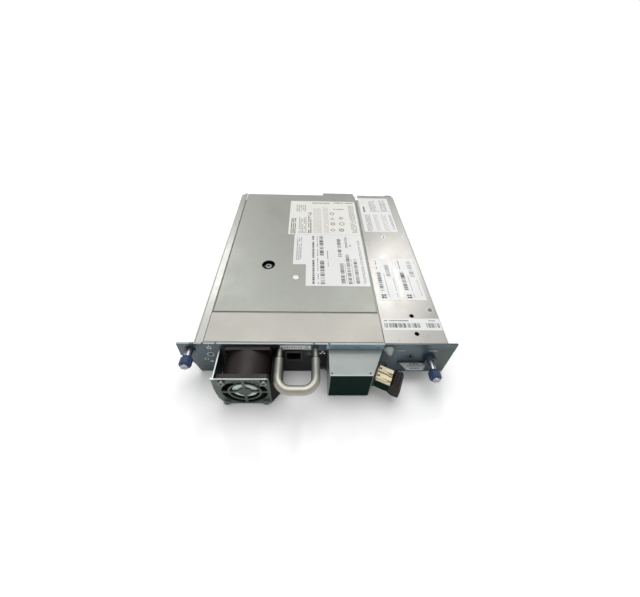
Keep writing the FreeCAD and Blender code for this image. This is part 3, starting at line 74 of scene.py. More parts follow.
def at(x, y, z):
    """A drawing place in millimetres as a point in the frame."""
    return corner + Vector((x, y, z)) * MM


def top_of(node):
    """Height of a node's top above the tray's underside, in millimetres."""
    return (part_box(node)[1].z - corner.z) / MM


def front_of(node):
    """How far a node stands out of the panel's face, in millimetres."""
    return (corner.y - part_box(node)[0].y) / MM


rivet_head = 0.4
cover_top = top_of("bay_cover")
drive_top = min(top_of("drive_cover"), top_of("cover_rivet") - rivet_head)
print("top of the covers:", round(cover_top, 2), "top of the drive:", round(drive_top, 2))

# %% [markdown]
# Materials, shapes and the sky are all small trees of nodes, so one helper adds a node to any
# tree, and another fills a colour ramp with greys. A third puts new data into the scene.

# %% Adding nodes and objects
def add_node(tree, kind, links=(), **settings):
    """A new node with its settings, and its inputs linked or set to constants."""
    node = tree.nodes.new(kind)
    for key, value in settings.items():
        setattr(node, key, value)
    for socket, source in dict(links).items():
        if hasattr(source, "node"):
            tree.links.new(source, node.inputs[socket])
        else:
            node.inputs[socket].default_value = source
    return node


def set_stops(ramp, stops):
    """Give a colour ramp these stops, each a position and a grey."""
    while len(ramp.elements) < len(stops):
        ramp.elements.new(0.5)
    for element, (position, grey) in zip(ramp.elements, stops):
        element.position = position
        element.color = (grey, grey, grey, 1.0)


def in_scene(name, data):
    """A new object that is linked to the scene."""
    item = bpy.data.objects.new(name, data)
    bpy.context.scene.collection.objects.link(item)
    return item


# %% [markdown]
# A material here is a small chain of nodes: the same surface seen at three scales. Broad noise
# shifts the colour a little, as handling and uneven plating do; fine noise breaks up the gloss;
# and a bump far smaller than a millimetre gives the grain. All of them read Object coordinates,
# which are metres on this model, so a scale of 400 is a grain of about 2.5 mm.

# %% A finish under construction
class Finish:
    """A material under construction, with short names for the nodes used below."""

    def __init__(self, name, base, metallic, roughness, **sockets):
        self.material = bpy.data.materials.new(name)
        self.material.use_nodes = True
        self.tree = self.material.node_tree
        self.inputs = self.tree.nodes["Principled BSDF"].inputs
        sockets.update(Base_Color=(*base, 1.0), Metallic=metallic, Roughness=roughness)
        for socket, value in sockets.items():
            self.inputs[socket.replace("_", " ")].default_value = value
        self.place = self.add("ShaderNodeTexCoord").outputs["Object"]
        self.relief = {}

    def add(self, kind, links=(), **settings):
        return add_node(self.tree, kind, links, **settings)

    def stretched(self, x, y, z):
        """Object coordinates scaled by axis, for grain that runs one way."""
        return self.add("ShaderNodeMapping", {"Vector": self.place, "Scale": (x, y, z)}).outputs["Vector"]

    def noise(self, scale, detail, vector=None, roughness=0.5):
        """Cloudy noise with about this many features along a metre."""
        node = self.add("ShaderNodeTexNoise", {"Scale": scale, "Detail": detail, "Roughness": roughness,
                                               "Vector": vector or self.place})
        return node.outputs["Fac"]

    def cells(self, scale, feature="F1"):
        """Voronoi cells: a shade for each cell, or the distance to its border."""
        node = self.add("ShaderNodeTexVoronoi", {"Scale": scale, "Vector": self.place}, feature=feature)
        return node.outputs["Color" if feature == "F1" else "Distance"]

    def ramp(self, value, stops):
        """Map a 0 to 1 value through (position, grey) stops."""
        node = self.add("ShaderNodeValToRGB", {"Fac": value})
        set_stops(node.color_ramp, stops)
        return node.outputs["Color"]

    def blend(self, value, first, second):
        """Mix two colours (tuples or node outputs) by a value."""
        first, second = [(*item, 1.0) if isinstance(item, tuple) else item for item in (first, second)]
        node = self.add("ShaderNodeMix", {0: value, 6: first, 7: second}, data_type="RGBA")
        return node.outputs[2]

    def remap(self, value, start, end, low=0.0, high=1.0):
        """Low before start and high after end; start may be the larger, for a step down."""
        node = self.add("ShaderNodeMapRange", {"Value": value, "From Min": start, "From Max": end,
                                               "To Min": low, "To Max": high})
        return node.outputs["Result"]

    def between(self, value, low, high):
        """Spread the middle half of a noise, where nearly all of it lies, over a range."""
        return self.remap(value, 0.25, 0.75, low, high)

    def veil(self, value, most, tint, colour):
        """Lay a colour over a tint where a noise is high, by no more than a share."""
        return self.blend(self.between(value, 0.0, most), tint, colour)

    def zone(self, soft=0.3, facing_up=False, **limits):
        """1 in a box of drawing millimetres, such as x=(64, 111), fading over a soft border."""
        place = self.add("ShaderNodeSeparateXYZ", {"Vector": self.place}).outputs
        factors = []
        for axis, (low, high) in limits.items():
            zero = getattr(corner, axis)
            for edge, sign in ((low, 1.0), (high, -1.0)):
                if edge is not None:
                    start, end = ((edge - sign * soft) * MM + zero, (edge + sign * soft) * MM + zero)
                    factors.append(self.remap(place[axis.upper()], start, end))
        if facing_up:
            normal = self.add("ShaderNodeNewGeometry").outputs["Normal"]
            facing = self.add("ShaderNodeSeparateXYZ", {"Vector": normal}).outputs["Z"]
            steep, gentle = 0.6, 0.8
            factors.append(self.remap(facing, steep, gentle))
        product = factors[0]
        for factor in factors[1:]:
            product = self.add("ShaderNodeMath", {0: product, 1: factor}, operation="MULTIPLY").outputs[0]
        return product

    def with_painted_light(self, tint, patches):
        """Lay painted light and shade over a colour; each patch is a colour and the limits of its zone."""
        for colour, limits in patches:
            tint = self.blend(self.zone(**limits), tint, colour)
        return tint

    def bump(self, value, depth):
        """Add relief of a depth in metres on top of what is already there."""
        node = self.add("ShaderNodeBump", {"Distance": depth, "Height": value, **self.relief})
        self.relief = {"Normal": node.outputs["Normal"]}
        self.tree.links.new(node.outputs["Normal"], self.inputs["Normal"])

    def colour(self, output):
        self.tree.links.new(output, self.inputs["Base Color"])

    def roughness(self, value, low, high):
        """Let a noise vary the roughness between two values."""
        self.tree.links.new(self.between(value, low, high), self.inputs["Roughness"])


def shade(base, factor):
    """A colour made lighter or darker by a factor."""
    return tuple(min(1.0, channel * factor) for channel in base)


def srgb(red, green, blue):
    """Linear colour from 0 to 255 screen values."""
    def channel(value):
        value /= 255.0
        return value / 12.92 if value <= 0.04045 else ((value + 0.055) / 1.055) ** 2.4
    return channel(red), channel(green), channel(blue)


print("screen grey 128 in linear light:", round(srgb(128, 128, 128)[0], 3))

# %% [markdown]
# Zinc-plated sheet is not one grey. Under a soft light its crystals show as faint patches with
# hard borders, and the rolling mill leaves fine lines along the sheet. Voronoi cells give the
# patches and noise stretched along one axis gives the lines.

# %% Plated sheet
def plated_sheet(name, base, metallic, roughness, spangle, lines, along="y"):
    """Sheet metal with faint crystal patches, rolling lines and handling marks."""
    crystals, across, lengthways, cloudy, smeared, pitted = 260.0, 900.0, 12.0, 14.0, 38.0, 1500.0
    finish = Finish(name, base, metallic, roughness)
    patches = finish.ramp(finish.cells(crystals), [(0.0, 0.0), (1.0, 1.0)])
    tint = finish.blend(patches, shade(base, 1.0 - spangle), shade(base, 1.0 + spangle))
    squash = [lengthways if axis == along else across for axis in "xyz"]
    rolled = finish.noise(1.0, 3.0, finish.stretched(*squash))
    tint = finish.veil(rolled, lines * 4.0, tint, shade(base, 0.86))
    tint = finish.veil(finish.noise(cloudy, 3.0), 0.35, tint, shade(base, 1.10))
    finish.colour(tint)
    smudge = finish.noise(smeared, 4.0, roughness=0.62)
    finish.roughness(smudge, roughness - 0.06, roughness + 0.09)
    finish.bump(rolled, 0.000006)
    finish.bump(finish.noise(pitted, 2.0), 0.000008)
    return finish.material


sheet_zinc = plated_sheet("zinc_sheet", srgb(150, 150, 145), 0.55, 0.34, 0.04, 0.05)
sheet_cover = plated_sheet("drive_cover_sheet", srgb(136, 138, 131), 0.45, 0.42, 0.025, 0.04)
sheet_front = plated_sheet("front_cover_sheet", srgb(147, 145, 138), 0.45, 0.40, 0.02, 0.05, "x")
sheet_bay = plated_sheet("bay_cover_sheet", srgb(154, 152, 147), 0.50, 0.30, 0.02, 0.03)
print("sheet finishes:", [m.name for m in (sheet_zinc, sheet_cover, sheet_front, sheet_bay)])

# %% [markdown]
# The rear panel and the folded brackets are sheet too, but painted or chromated dark. Paint adds
# a coat: a smooth gloss over a slightly pebbled colour, with a few dusty places.

# %% Painted sheet
def painted_sheet(name, base, roughness, metallic, coat, dust, patches=()):
    """Dark finish with an even gloss, dust in patches and a fine pebbled skin, under painted light and shade
    by zone where patches are given.
    """
    cloudy, dusty, glossy, pebbled = 22.0, 420.0, 60.0, 700.0
    finish = Finish(name, base, metallic, roughness, Coat_Weight=coat, Coat_Roughness=0.18)
    clouds = finish.noise(cloudy, 4.0, roughness=0.6)
    tint = finish.veil(clouds, 0.5, base, shade(base, 1.35))
    specks = finish.ramp(finish.noise(dusty, 2.0), [(0.62, 0.0), (0.74, 1.0)])
    finish.colour(finish.with_painted_light(finish.blend(specks, tint, shade(base, dust)), patches))
    finish.roughness(finish.noise(glossy, 3.0), roughness - 0.05, roughness + 0.12)
    finish.bump(finish.noise(pebbled, 2.0), 0.000015)
    return finish.material


# Painted light and shade on the rear panel, by zone: nearly black painted shade between the fan and the hood
# under the handle, a pale strip of painted light above the hood, a painted highlight on the upward faces of
# the top edge left of the bay and painted shade on them over the bay, painted light on the middle of the
# right part, and painted shade at its far right.
panel_painted_light_and_shade = [
    (srgb(4, 12, 12), {"x": (64.0, 110.6), "z": (None, 33.4)}),
    (srgb(180, 202, 214), {"x": (109.5, 158.0), "z": (35.4, None), "soft": 0.6}),
    (srgb(122, 130, 130), {"x": (None, 158.0), "z": (40.0, None), "facing_up": True}),
    (srgb(66, 76, 78), {"x": (158.0, None), "z": (40.0, None), "facing_up": True}),
    (srgb(96, 110, 117), {"x": (164.0, 196.0), "z": (18.0, 40.0), "soft": 6.0}),
    (srgb(64, 77, 74), {"x": (203.0, None), "z": (None, 40.0), "soft": 5.0}),
]
panel_paint = painted_sheet("panel_grey_paint", srgb(78, 90, 95), 0.36, 0.85, 0.08, 1.6, panel_painted_light_and_shade)
# Painted highlight along the hood's top front edge.
hood_edge_highlight = [(srgb(150, 155, 152), {"y": (None, -22.3), "z": (34.0, None), "soft": 0.2})]
hood_paint = painted_sheet("hood_paint", srgb(113, 118, 116), 0.35, 0.35, 0.15, 1.12, hood_edge_highlight)
# Painted highlights on the fan guard's upward faces: its top edge, and brighter on the left wall's top edge.
guard_edge_highlight = [(srgb(140, 146, 140), {"z": (36.0, None), "facing_up": True}),
              (srgb(172, 178, 174), {"x": (None, 23.0), "z": (12.0, None), "facing_up": True})]
guard_paint = painted_sheet("guard_plate", srgb(73, 85, 78), 0.38, 0.8, 0.06, 1.3, guard_edge_highlight)
collar_paint = painted_sheet("collar_slate_paint", srgb(48, 61, 74), 0.34, 0.4, 0.1, 1.3)
print("painted finishes:", [m.name for m in (panel_paint, hood_paint, guard_paint, collar_paint)])

# %% [markdown]
# Machined and drawn metal reflects more and shows its direction of working: screws are turned,
# the handle is drawn and blasted, and castings keep the sandy skin of their mould.

# %% Bare metals
def drawn_metal(name, base, roughness, grain=(700.0, 40.0, 700.0), depth=0.000006, metallic=1.0,
                patches=()):
    """Metal with fine lines along it, a little darker in the lines, under painted shade by zone where patches
    are given.
    """
    glossy = 90.0
    finish = Finish(name, base, metallic, roughness)
    lines = finish.noise(1.0, 3.0, finish.stretched(*grain))
    tint = finish.veil(lines, 0.6, base, shade(base, 0.82))
    finish.colour(finish.with_painted_light(tint, patches))
    finish.roughness(finish.noise(glossy, 3.0), roughness - 0.05, roughness + 0.08)
    finish.bump(lines, depth)
    return finish.material


def cast_metal_skin(name, base):
    """Sandy skin of a casting, with broad paler clouds."""
    sandy, cloudy = 1100.0, 30.0
    finish = Finish(name, base, 0.85, 0.5)
    sand = finish.noise(sandy, 4.0, roughness=0.7)
    clouds = finish.noise(cloudy, 3.0)
    tint = finish.veil(sand, 0.5, base, shade(base, 0.75))
    finish.colour(finish.veil(clouds, 0.4, tint, shade(base, 1.15)))
    finish.roughness(sand, 0.42, 0.62)
    finish.bump(sand, 0.00003)
    return finish.material


steel = drawn_metal("bright_steel", (0.46, 0.46, 0.47), 0.27)
# Painted shade on the handle's legs near the panel, darker than the grip.
handle_legs_shade = [(srgb(122, 123, 117), {"y": (-27.0, None), "soft": 5.0})]
handle_metal = drawn_metal("handle_satin", srgb(162, 160, 150), 0.43, (260.0, 260.0, 260.0), 0.00001, 0.92,
                           handle_legs_shade)
cast = cast_metal_skin("cast_alloy", (0.36, 0.36, 0.35))
stud_steel = drawn_metal("stud_steel", (0.40, 0.42, 0.45), 0.30)
rivet_bronze = drawn_metal("rivet_bronze", (0.16, 0.14, 0.12), 0.45)
dull_steel = drawn_metal("dull_steel", (0.20, 0.21, 0.20), 0.42)
lip_steel = drawn_metal("lip_steel", (0.045, 0.043, 0.040), 0.42)
gold = drawn_metal("gold_contacts", (0.85, 0.60, 0.22), 0.25)
print("bare metals:", len((steel, handle_metal, cast, stud_steel, rivet_bronze, dull_steel, lip_steel, gold)))

# %% [markdown]
# Moulded plastic takes the texture of its tool. Spark-eroded grain is a dense field of tiny pits;
# a polished tool leaves only flow marks and finger grease, which show in the roughness.

# %% Plastics
def moulded(name, base, roughness, grain=900.0, depth=0.00002, **sockets):
    """Plastic with the pits of its tool and flow marks; grain counts the pits along a metre."""
    flowing, greasy = 26.0, 120.0
    finish = Finish(name, base, 0.0, roughness, **sockets)
    pits = finish.noise(grain, 3.0, roughness=0.6)
    flow = finish.noise(flowing, 3.0)
    tint = finish.veil(flow, 0.5, base, shade(base, 1.18))
    finish.colour(finish.veil(pits, 0.35, tint, shade(base, 0.78)))
    finish.roughness(finish.noise(greasy, 3.0), roughness - 0.07, roughness + 0.1)
    finish.bump(pits, depth)
    return finish.material


black_plastic = moulded("black_moulding", srgb(30, 29, 29), 0.46, Specular_IOR_Level=0.35)
matt_plastic = moulded("matt_black_moulding", srgb(16, 15, 15), 0.52, Specular_IOR_Level=0.06)
fan_plastic = moulded("fan_frame_moulding", srgb(31, 26, 24), 0.40, 1300.0, 0.00001, Specular_IOR_Level=0.22)
blade_plastic = moulded("fan_blade_moulding", srgb(196, 202, 200), 0.22, 500.0, 0.000006)
blue_plastic = moulded("blue_knob_moulding", srgb(38, 53, 88), 0.36, Specular_IOR_Level=0.3)
beige_plastic = moulded("beige_plug_moulding", srgb(200, 188, 158), 0.40)
white_plastic = moulded("white_moulding", srgb(206, 209, 200), 0.42)
gear_plastic = moulded("natural_gear_moulding", srgb(222, 216, 200), 0.38)
clear_plastic = moulded("milky_cap_moulding", srgb(160, 170, 165), 0.20, 400.0, 0.000004,
                        Transmission_Weight=0.35, IOR=1.46)
door_plastic = moulded("door_grey_moulding", srgb(58, 60, 64), 0.30, 500.0, 0.000008)
smoked_plastic = moulded("smoked_lens_moulding", srgb(34, 40, 42), 0.18, 400.0, 0.000004)
dark_plug = moulded("dark_plug_moulding", srgb(26, 23, 20), 0.42, Specular_IOR_Level=0.12)
hub_sticker = moulded("hub_sticker_silver", srgb(196, 204, 200), 0.25, 260.0, 0.00006)


def board_finish():
    """Solder mask over copper: paler traces under green, and a fine net of bare metal."""
    base, bare_metal = srgb(22, 92, 58), srgb(150, 150, 110)
    finish = Finish("circuit_board_green", base, 0.0, 0.32, Coat_Weight=0.4)
    tracks = finish.ramp(finish.noise(1.0, 0.0, finish.stretched(900.0, 160.0, 1.0)),
                         [(0.52, 0.0), (0.56, 1.0)])
    tint = finish.blend(tracks, base, shade(base, 1.5))
    net = finish.ramp(finish.cells(330.0, "DISTANCE_TO_EDGE"), [(0.0, 1.0), (0.05, 0.0)])
    finish.colour(finish.blend(net, tint, bare_metal))
    finish.bump(tracks, 0.00003)
    return finish.material


board_green = board_finish()
print("materials so far:", len(bpy.data.materials))

# %% [markdown]
# Every CAD node keeps its shape and takes one of these finishes. The table below says which, in
# the words of the parts list.

# %% Dress the CAD nodes
finish_of = {
    sheet_zinc: ["sled_tray", "bay_partition", "bay_shelf", "loader_carriage"],
    sheet_cover: ["drive_cover"],
    sheet_front: ["front_cover"],
    sheet_bay: ["bay_cover"],
    panel_paint: ["rear_panel"],
    hood_paint: ["interface_hood"],
    guard_paint: ["fan_guard"],
    cast: ["drive_base", "supply_motor", "takeup_motor", "head_block", "power_converter"],
    dull_steel: ["fan_screws", "handle_nuts"],
    stud_steel: ["stud_left", "stud_right", "cover_screws"],
    collar_paint: ["collar_left", "collar_right"],
    steel: ["base_screws", "loader_motor", "supply_hub", "roller_pins", "head_actuator", "threader_arm",
            "threader_post", "board_standoffs", "retainer_left", "retainer_right",
            "guide_roller_1", "guide_roller_2", "guide_roller_3", "guide_roller_4"],
    handle_metal: ["handle"],
    matt_plastic: ["fan_duct", "ethernet_jack"],
    black_plastic: ["guide_rail", "mouth_frame", "drive_chips", "board_components",
                    "docking_connector", "optical_port", "takeup_reel"],
    fan_plastic: ["fan_housing", "fan_stator"],
    blade_plastic: ["fan_rotor"],
    blue_plastic: ["knob_left", "knob_right"],
    beige_plastic: ["plug_body"],
    dark_plug: ["plug_shell"],
    clear_plastic: ["port_cap"],
    smoked_plastic: ["indicator_lenses"],
    door_plastic: ["mouth_door"],
    white_plastic: ["cover_rivet"],
    gear_plastic: ["loader_gear"],
    board_green: ["drive_board", "controller_board"],
}
dressed = set()
for material, nodes in finish_of.items():
    for node in nodes:
        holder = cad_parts[node]
        if not holder.material_slots:
            holder.data.materials.append(None)
        for socket in holder.material_slots:
            socket.material = material
        dressed.add(node)
bare = sorted(set(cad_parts) - dressed)
print("dressed", len(dressed), "of", len(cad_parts), "nodes; bare:", bare)

# %% [markdown]
# Trim that is new has to move with the part it sits on. Every piece is filled as a bmesh, cleaned,
# put in the scene, and set to ride on the body that it belongs to.

# %% Pieces on bodies
def add_piece(name, mesh, body):
    """Put a finished mesh in the scene as a piece of a body."""
    piece = in_scene(name, mesh)
    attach(piece, body)
    return piece


def mesh_piece(name, builder, material, body="chassis"):
    """Run a function that fills a bmesh, clean the result, and make it a piece on a body."""
    work = bmesh.new()
    builder(work)
    bmesh.ops.remove_doubles(work, verts=work.verts, dist=1e-7)
    bmesh.ops.recalc_face_normals(work, faces=work.faces)
    mesh = bpy.data.meshes.new(name)
    work.to_mesh(mesh)
    work.free()
    mesh.materials.append(material)
    return add_piece(name, mesh, body)


print("nodes that trim can sit on:", len(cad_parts))

# %% [markdown]
# Flat trim is an outline pushed up by a little, or a frame between two outlines. Each takes a map
# from flat places to the frame, so the same helper serves lying, upright and slanted faces. A
# sharp corner is cut slightly round where the real one is.

# %% Plates from outlines
def rectangle(x0, y0, x1, y1):
    return [(x0, y0), (x1, y0), (x1, y1), (x0, y1)]


def rounded_outline(points, radius, steps):
    """Corner points of a closed outline with each corner replaced by a short arc."""
    outline = []
    count = len(points)
    for index in range(count):
        here = Vector(points[index])
        before = (Vector(points[index - 1]) - here).normalized()
        after = (Vector(points[(index + 1) % count]) - here).normalized()
        for step in range(steps + 1):
            share = step / steps
            start, end = here + before * radius, here + after * radius
            outline.append(start.lerp(here, share).lerp(here.lerp(end, share), share))
    return outline


def plate(work, outline, low, high, place):
    """Add a closed plate to a bmesh: a flat outline between two heights, mapped by place."""
    bottom = [work.verts.new(place(x, y, low)) for x, y in outline]
    top = [work.verts.new(place(x, y, high)) for x, y in outline]
    work.faces.new(bottom[::-1])
    work.faces.new(top)
    for index in range(len(outline)):
        after = (index + 1) % len(outline)
        work.faces.new((bottom[index], bottom[after], top[after], top[index]))


def hollow_plate(work, outer, inner, low, high, place):
    """Add a closed flat frame between two outlines that have the same number of points."""
    low_out, high_out, low_in, high_in = [[work.verts.new(place(x, y, level)) for x, y in outline]
                                          for outline in (outer, inner) for level in (low, high)]
    for step in range(len(outer)):
        after = (step + 1) % len(outer)
        for one, other in ((low_out, high_out), (high_out, high_in), (high_in, low_in), (low_in, low_out)):
            work.faces.new((one[step], one[after], other[after], other[step]))


def plates(name, outlines, low, high, place, material, body="chassis", radius=0.0,
           steps=2):
    """One piece of flat plates with these outlines, with round corners if a radius is given."""
    def build(work):
        for outline in outlines:
            plate(work, rounded_outline(outline, radius, steps) if radius else outline, low, high, place)
    return mesh_piece(name, build, material, body)


print("corner points of a rounded rectangle:", len(rounded_outline(rectangle(0, 0, 2, 1), 0.1, 4)))

# %% [markdown]
# The stickers are coated paper, which is nearly even with a soft satin gloss. A sheet a tenth of a
# millimetre thick is enough for light to catch its edge, as it does on real label stock. The inks
# differ only in their tone.

# %% Paper, inks and stickers
paper_thick, ink_thick = 0.12, 0.024


def paper_finish(name, base, roughness):
    """Coated label stock: nearly even, with faint yellowing and a soft satin gloss."""
    yellowed, glossy, fibrous = 30.0, 200.0, 1800.0
    finish = Finish(name, base, 0.0, roughness)
    clouds = finish.noise(yellowed, 3.0)
    finish.colour(finish.veil(clouds, 0.5, base, shade(base, 0.93)))
    finish.roughness(finish.noise(glossy, 2.0), roughness - 0.04, roughness + 0.06)
    finish.bump(finish.noise(fibrous, 2.0), 0.000004)
    return finish.material


def ink_finish(name, base):
    return moulded(name, base, 0.5, 1500.0, 0.000002)


label_paper = paper_finish("label_paper", srgb(201, 202, 200), 0.34)
cream_paper = paper_finish("cream_label_paper", srgb(202, 202, 195), 0.36)
tab_paper = paper_finish("tab_label_grey", srgb(172, 176, 175), 0.40)
ink = ink_finish("printed_ink", srgb(52, 52, 54))
faint_ink = ink_finish("faint_ink", srgb(166, 160, 152))
grey_ink = ink_finish("grey_ink", srgb(132, 132, 132))
white_ink = ink_finish("white_screen_print", srgb(214, 218, 216))

stickers = [
    ("regulatory_sticker", drive_top, cream_paper, rectangle(69.0, 149.2, 155.6, 224.0)),
    ("drive_sticker", drive_top, label_paper, [(91.0, 66.0), (155.6, 66.0), (155.6, 149.0), (77.0, 149.0),
                                               (77.0, 97.0), (91.0, 97.0)]),
    ("bay_far_sticker", cover_top, label_paper, rectangle(161.4, 156.0, 202.0, 234.0)),
    ("bay_left_sticker", cover_top, label_paper, rectangle(163.0, 48.0, 183.2, 107.4)),
    ("bay_right_sticker", cover_top, label_paper, rectangle(187.0, 48.2, 207.0, 107.8)),
    ("bay_near_sticker", cover_top, label_paper, rectangle(159.4, 14.3, 211.3, 26.9)),
]
for name, height, paper, outline in stickers:
    plates(name, [outline], height, height + paper_thick, at, paper, radius=0.9, steps=4)
print("stickers:", len(stickers))

# %% [markdown]
# What repeats is grown by a Geometry Nodes tree. A tree is built once with named inputs, evaluated
# with the values of one use, and the result becomes a plain mesh. Several of these can be joined
# into one piece.

# %% Helpers for Geometry Nodes
def input_tree(name, sockets):
    """A geometry node group with named inputs, and functions that add nodes and close the tree."""
    tree = bpy.data.node_groups.new(name, "GeometryNodeTree")
    tree.interface.new_socket("Geometry", in_out="OUTPUT", socket_type="NodeSocketGeometry")
    for label, kind in sockets:
        tree.interface.new_socket(label, in_out="INPUT", socket_type="NodeSocket" + kind)
    given = add_node(tree, "NodeGroupInput").outputs

    def add(kind, links=(), **settings):
        return add_node(tree, kind, links, **settings)

    def close(geometry, material):
        realised = add("GeometryNodeRealizeInstances", {"Geometry": geometry})
        painted = add("GeometryNodeSetMaterial", {"Geometry": realised.outputs[0], "Material": material})
        add("NodeGroupOutput", {"Geometry": painted.outputs[0]})
    return tree, given, add, close


def grown(tree, **values):
    """Evaluate a tree once with these inputs and return the result as a plain mesh."""
    seed_mesh = bpy.data.meshes.new("seed")
    holder = in_scene("seed", seed_mesh)
    modifier = holder.modifiers.new("grow", "NODES")
    modifier.node_group = tree
    for item in tree.interface.items_tree:
        key = item.name.lower().replace(" ", "_")
        if item.in_out == "INPUT" and key in values:
            modifier[item.identifier] = values[key]
    graph = bpy.context.evaluated_depsgraph_get()
    mesh = bpy.data.meshes.new_from_object(holder.evaluated_get(graph))
    bpy.data.objects.remove(holder)
    bpy.data.meshes.remove(seed_mesh)
    painted = next(item for item in mesh.materials if item is not None)
    mesh.materials.clear()
    mesh.materials.append(painted)
    mesh.polygons.foreach_set("material_index", [0] * len(mesh.polygons))
    return mesh


def merged(name, parts):
    """Join plain meshes into one piece on the chassis."""
    work = bmesh.new()
    materials = []
    for part in parts:
        start = len(work.faces)
        work.from_mesh(part)
        work.faces.ensure_lookup_table()
        material = part.materials[0]
        if material not in materials:
            materials.append(material)
        for face in work.faces[start:]:
            face.material_index = materials.index(material)
        bpy.data.meshes.remove(part)
    mesh = bpy.data.meshes.new(name)
    work.to_mesh(mesh)
    work.free()
    for material in materials:
        mesh.materials.append(material)
    return add_piece(name, mesh, "chassis")


print("node trees before the first of these:", len(bpy.data.node_groups))

# %% [markdown]
# Print is what repeats most: rows of short marks, and bars of uneven width. One tree makes both. A
# grid of points is thinned at random, a small block is set on each point with a random length, and
# the block is turned to the way the sticker reads. The marks stand for lines of print.

# %% A tree for printed marks
def print_tree():
    """Rows of small blocks with random lengths and gaps."""
    tree, given, add, close = input_tree("printed_marks", [
        ("Length", "Float"), ("Depth", "Float"), ("Marks", "Int"), ("Rows", "Int"),
        ("Mark Length", "Float"), ("Mark Depth", "Float"), ("Thickness", "Float"),
        ("Shortest", "Float"), ("Longest", "Float"), ("Missing", "Float"), ("Seed", "Int"),
        ("Turn", "Float"), ("Place", "Vector"), ("Material", "Material")])
    grid = add("GeometryNodeMeshGrid", {"Size X": given["Length"], "Size Y": given["Depth"],
                                        "Vertices X": given["Marks"], "Vertices Y": given["Rows"]})
    gone = add("FunctionNodeRandomValue", {"Probability": given["Missing"], "Seed": given["Seed"]},
               data_type="BOOLEAN")
    kept = add("GeometryNodeDeleteGeometry", {"Geometry": grid.outputs["Mesh"],
                                              "Selection": gone.outputs[3]})
    size = add("ShaderNodeCombineXYZ", {"X": given["Mark Length"], "Y": given["Mark Depth"],
                                        "Z": given["Thickness"]})
    block = add("GeometryNodeMeshCube", {"Size": size.outputs[0]})
    stretch = add("FunctionNodeRandomValue", {2: given["Shortest"], 3: given["Longest"],
                                              "Seed": given["Seed"]})
    scale = add("ShaderNodeCombineXYZ", {"X": stretch.outputs[1], "Y": 1.0, "Z": 1.0})
    copies = add("GeometryNodeInstanceOnPoints", {"Points": kept.outputs[0], "Scale": scale.outputs[0],
                                                  "Instance": block.outputs["Mesh"]})
    turn = add("ShaderNodeCombineXYZ", {"Z": given["Turn"]})
    placed = add("GeometryNodeTransform", {"Geometry": copies.outputs[0], "Translation": given["Place"],
                                           "Rotation": turn.outputs[0]})
    close(placed.outputs[0], given["Material"])
    return tree


printed_marks = print_tree()
print("nodes in the tree of marks:", len(printed_marks.nodes))

# %% [markdown]
# Each sticker is then a short list of blocks: the box where a block lies, its kind, how many rows
# and marks it has, and its ink if it isn't the dark one. "text" is rows of short dashes, "bars" one
# row of bars, and "bold" heavier dashes. A block reads along the longer side of its box.

# %% Fill the stickers
block_kinds = {
    # share of a step, share of a row, shortest, longest, share that is missing
    "text": (0.92, 0.55, 0.60, 1.05, 0.10),
    "bold": (0.90, 0.85, 0.60, 1.0, 0.12),
    "bars": (0.62, 1.00, 0.35, 1.5, 0.10),
}


def block(height, seed, x0, y0, x1, y1, kind, rows, marks, material=ink):
    """Printed marks inside a box of drawing millimetres, on a sticker at a height."""
    upright = y1 - y0 > x1 - x0
    long, deep = (y1 - y0, x1 - x0) if upright else (x1 - x0, y1 - y0)
    step_share, row_share, shortest, longest, missing = block_kinds[kind]
    step, row = long / marks, deep / rows
    return grown(printed_marks, length=(long - step) * MM, depth=(deep - row) * MM, marks=marks, rows=rows,
                 mark_length=step * step_share * MM, mark_depth=row * row_share * MM,
                 thickness=ink_thick * MM, shortest=shortest, longest=longest, missing=missing, seed=seed,
                 turn=math.pi / 2.0 if upright else 0.0, material=material,
                 place=at((x0 + x1) / 2.0, (y0 + y1) / 2.0, height + paper_thick + ink_thick / 2.0))


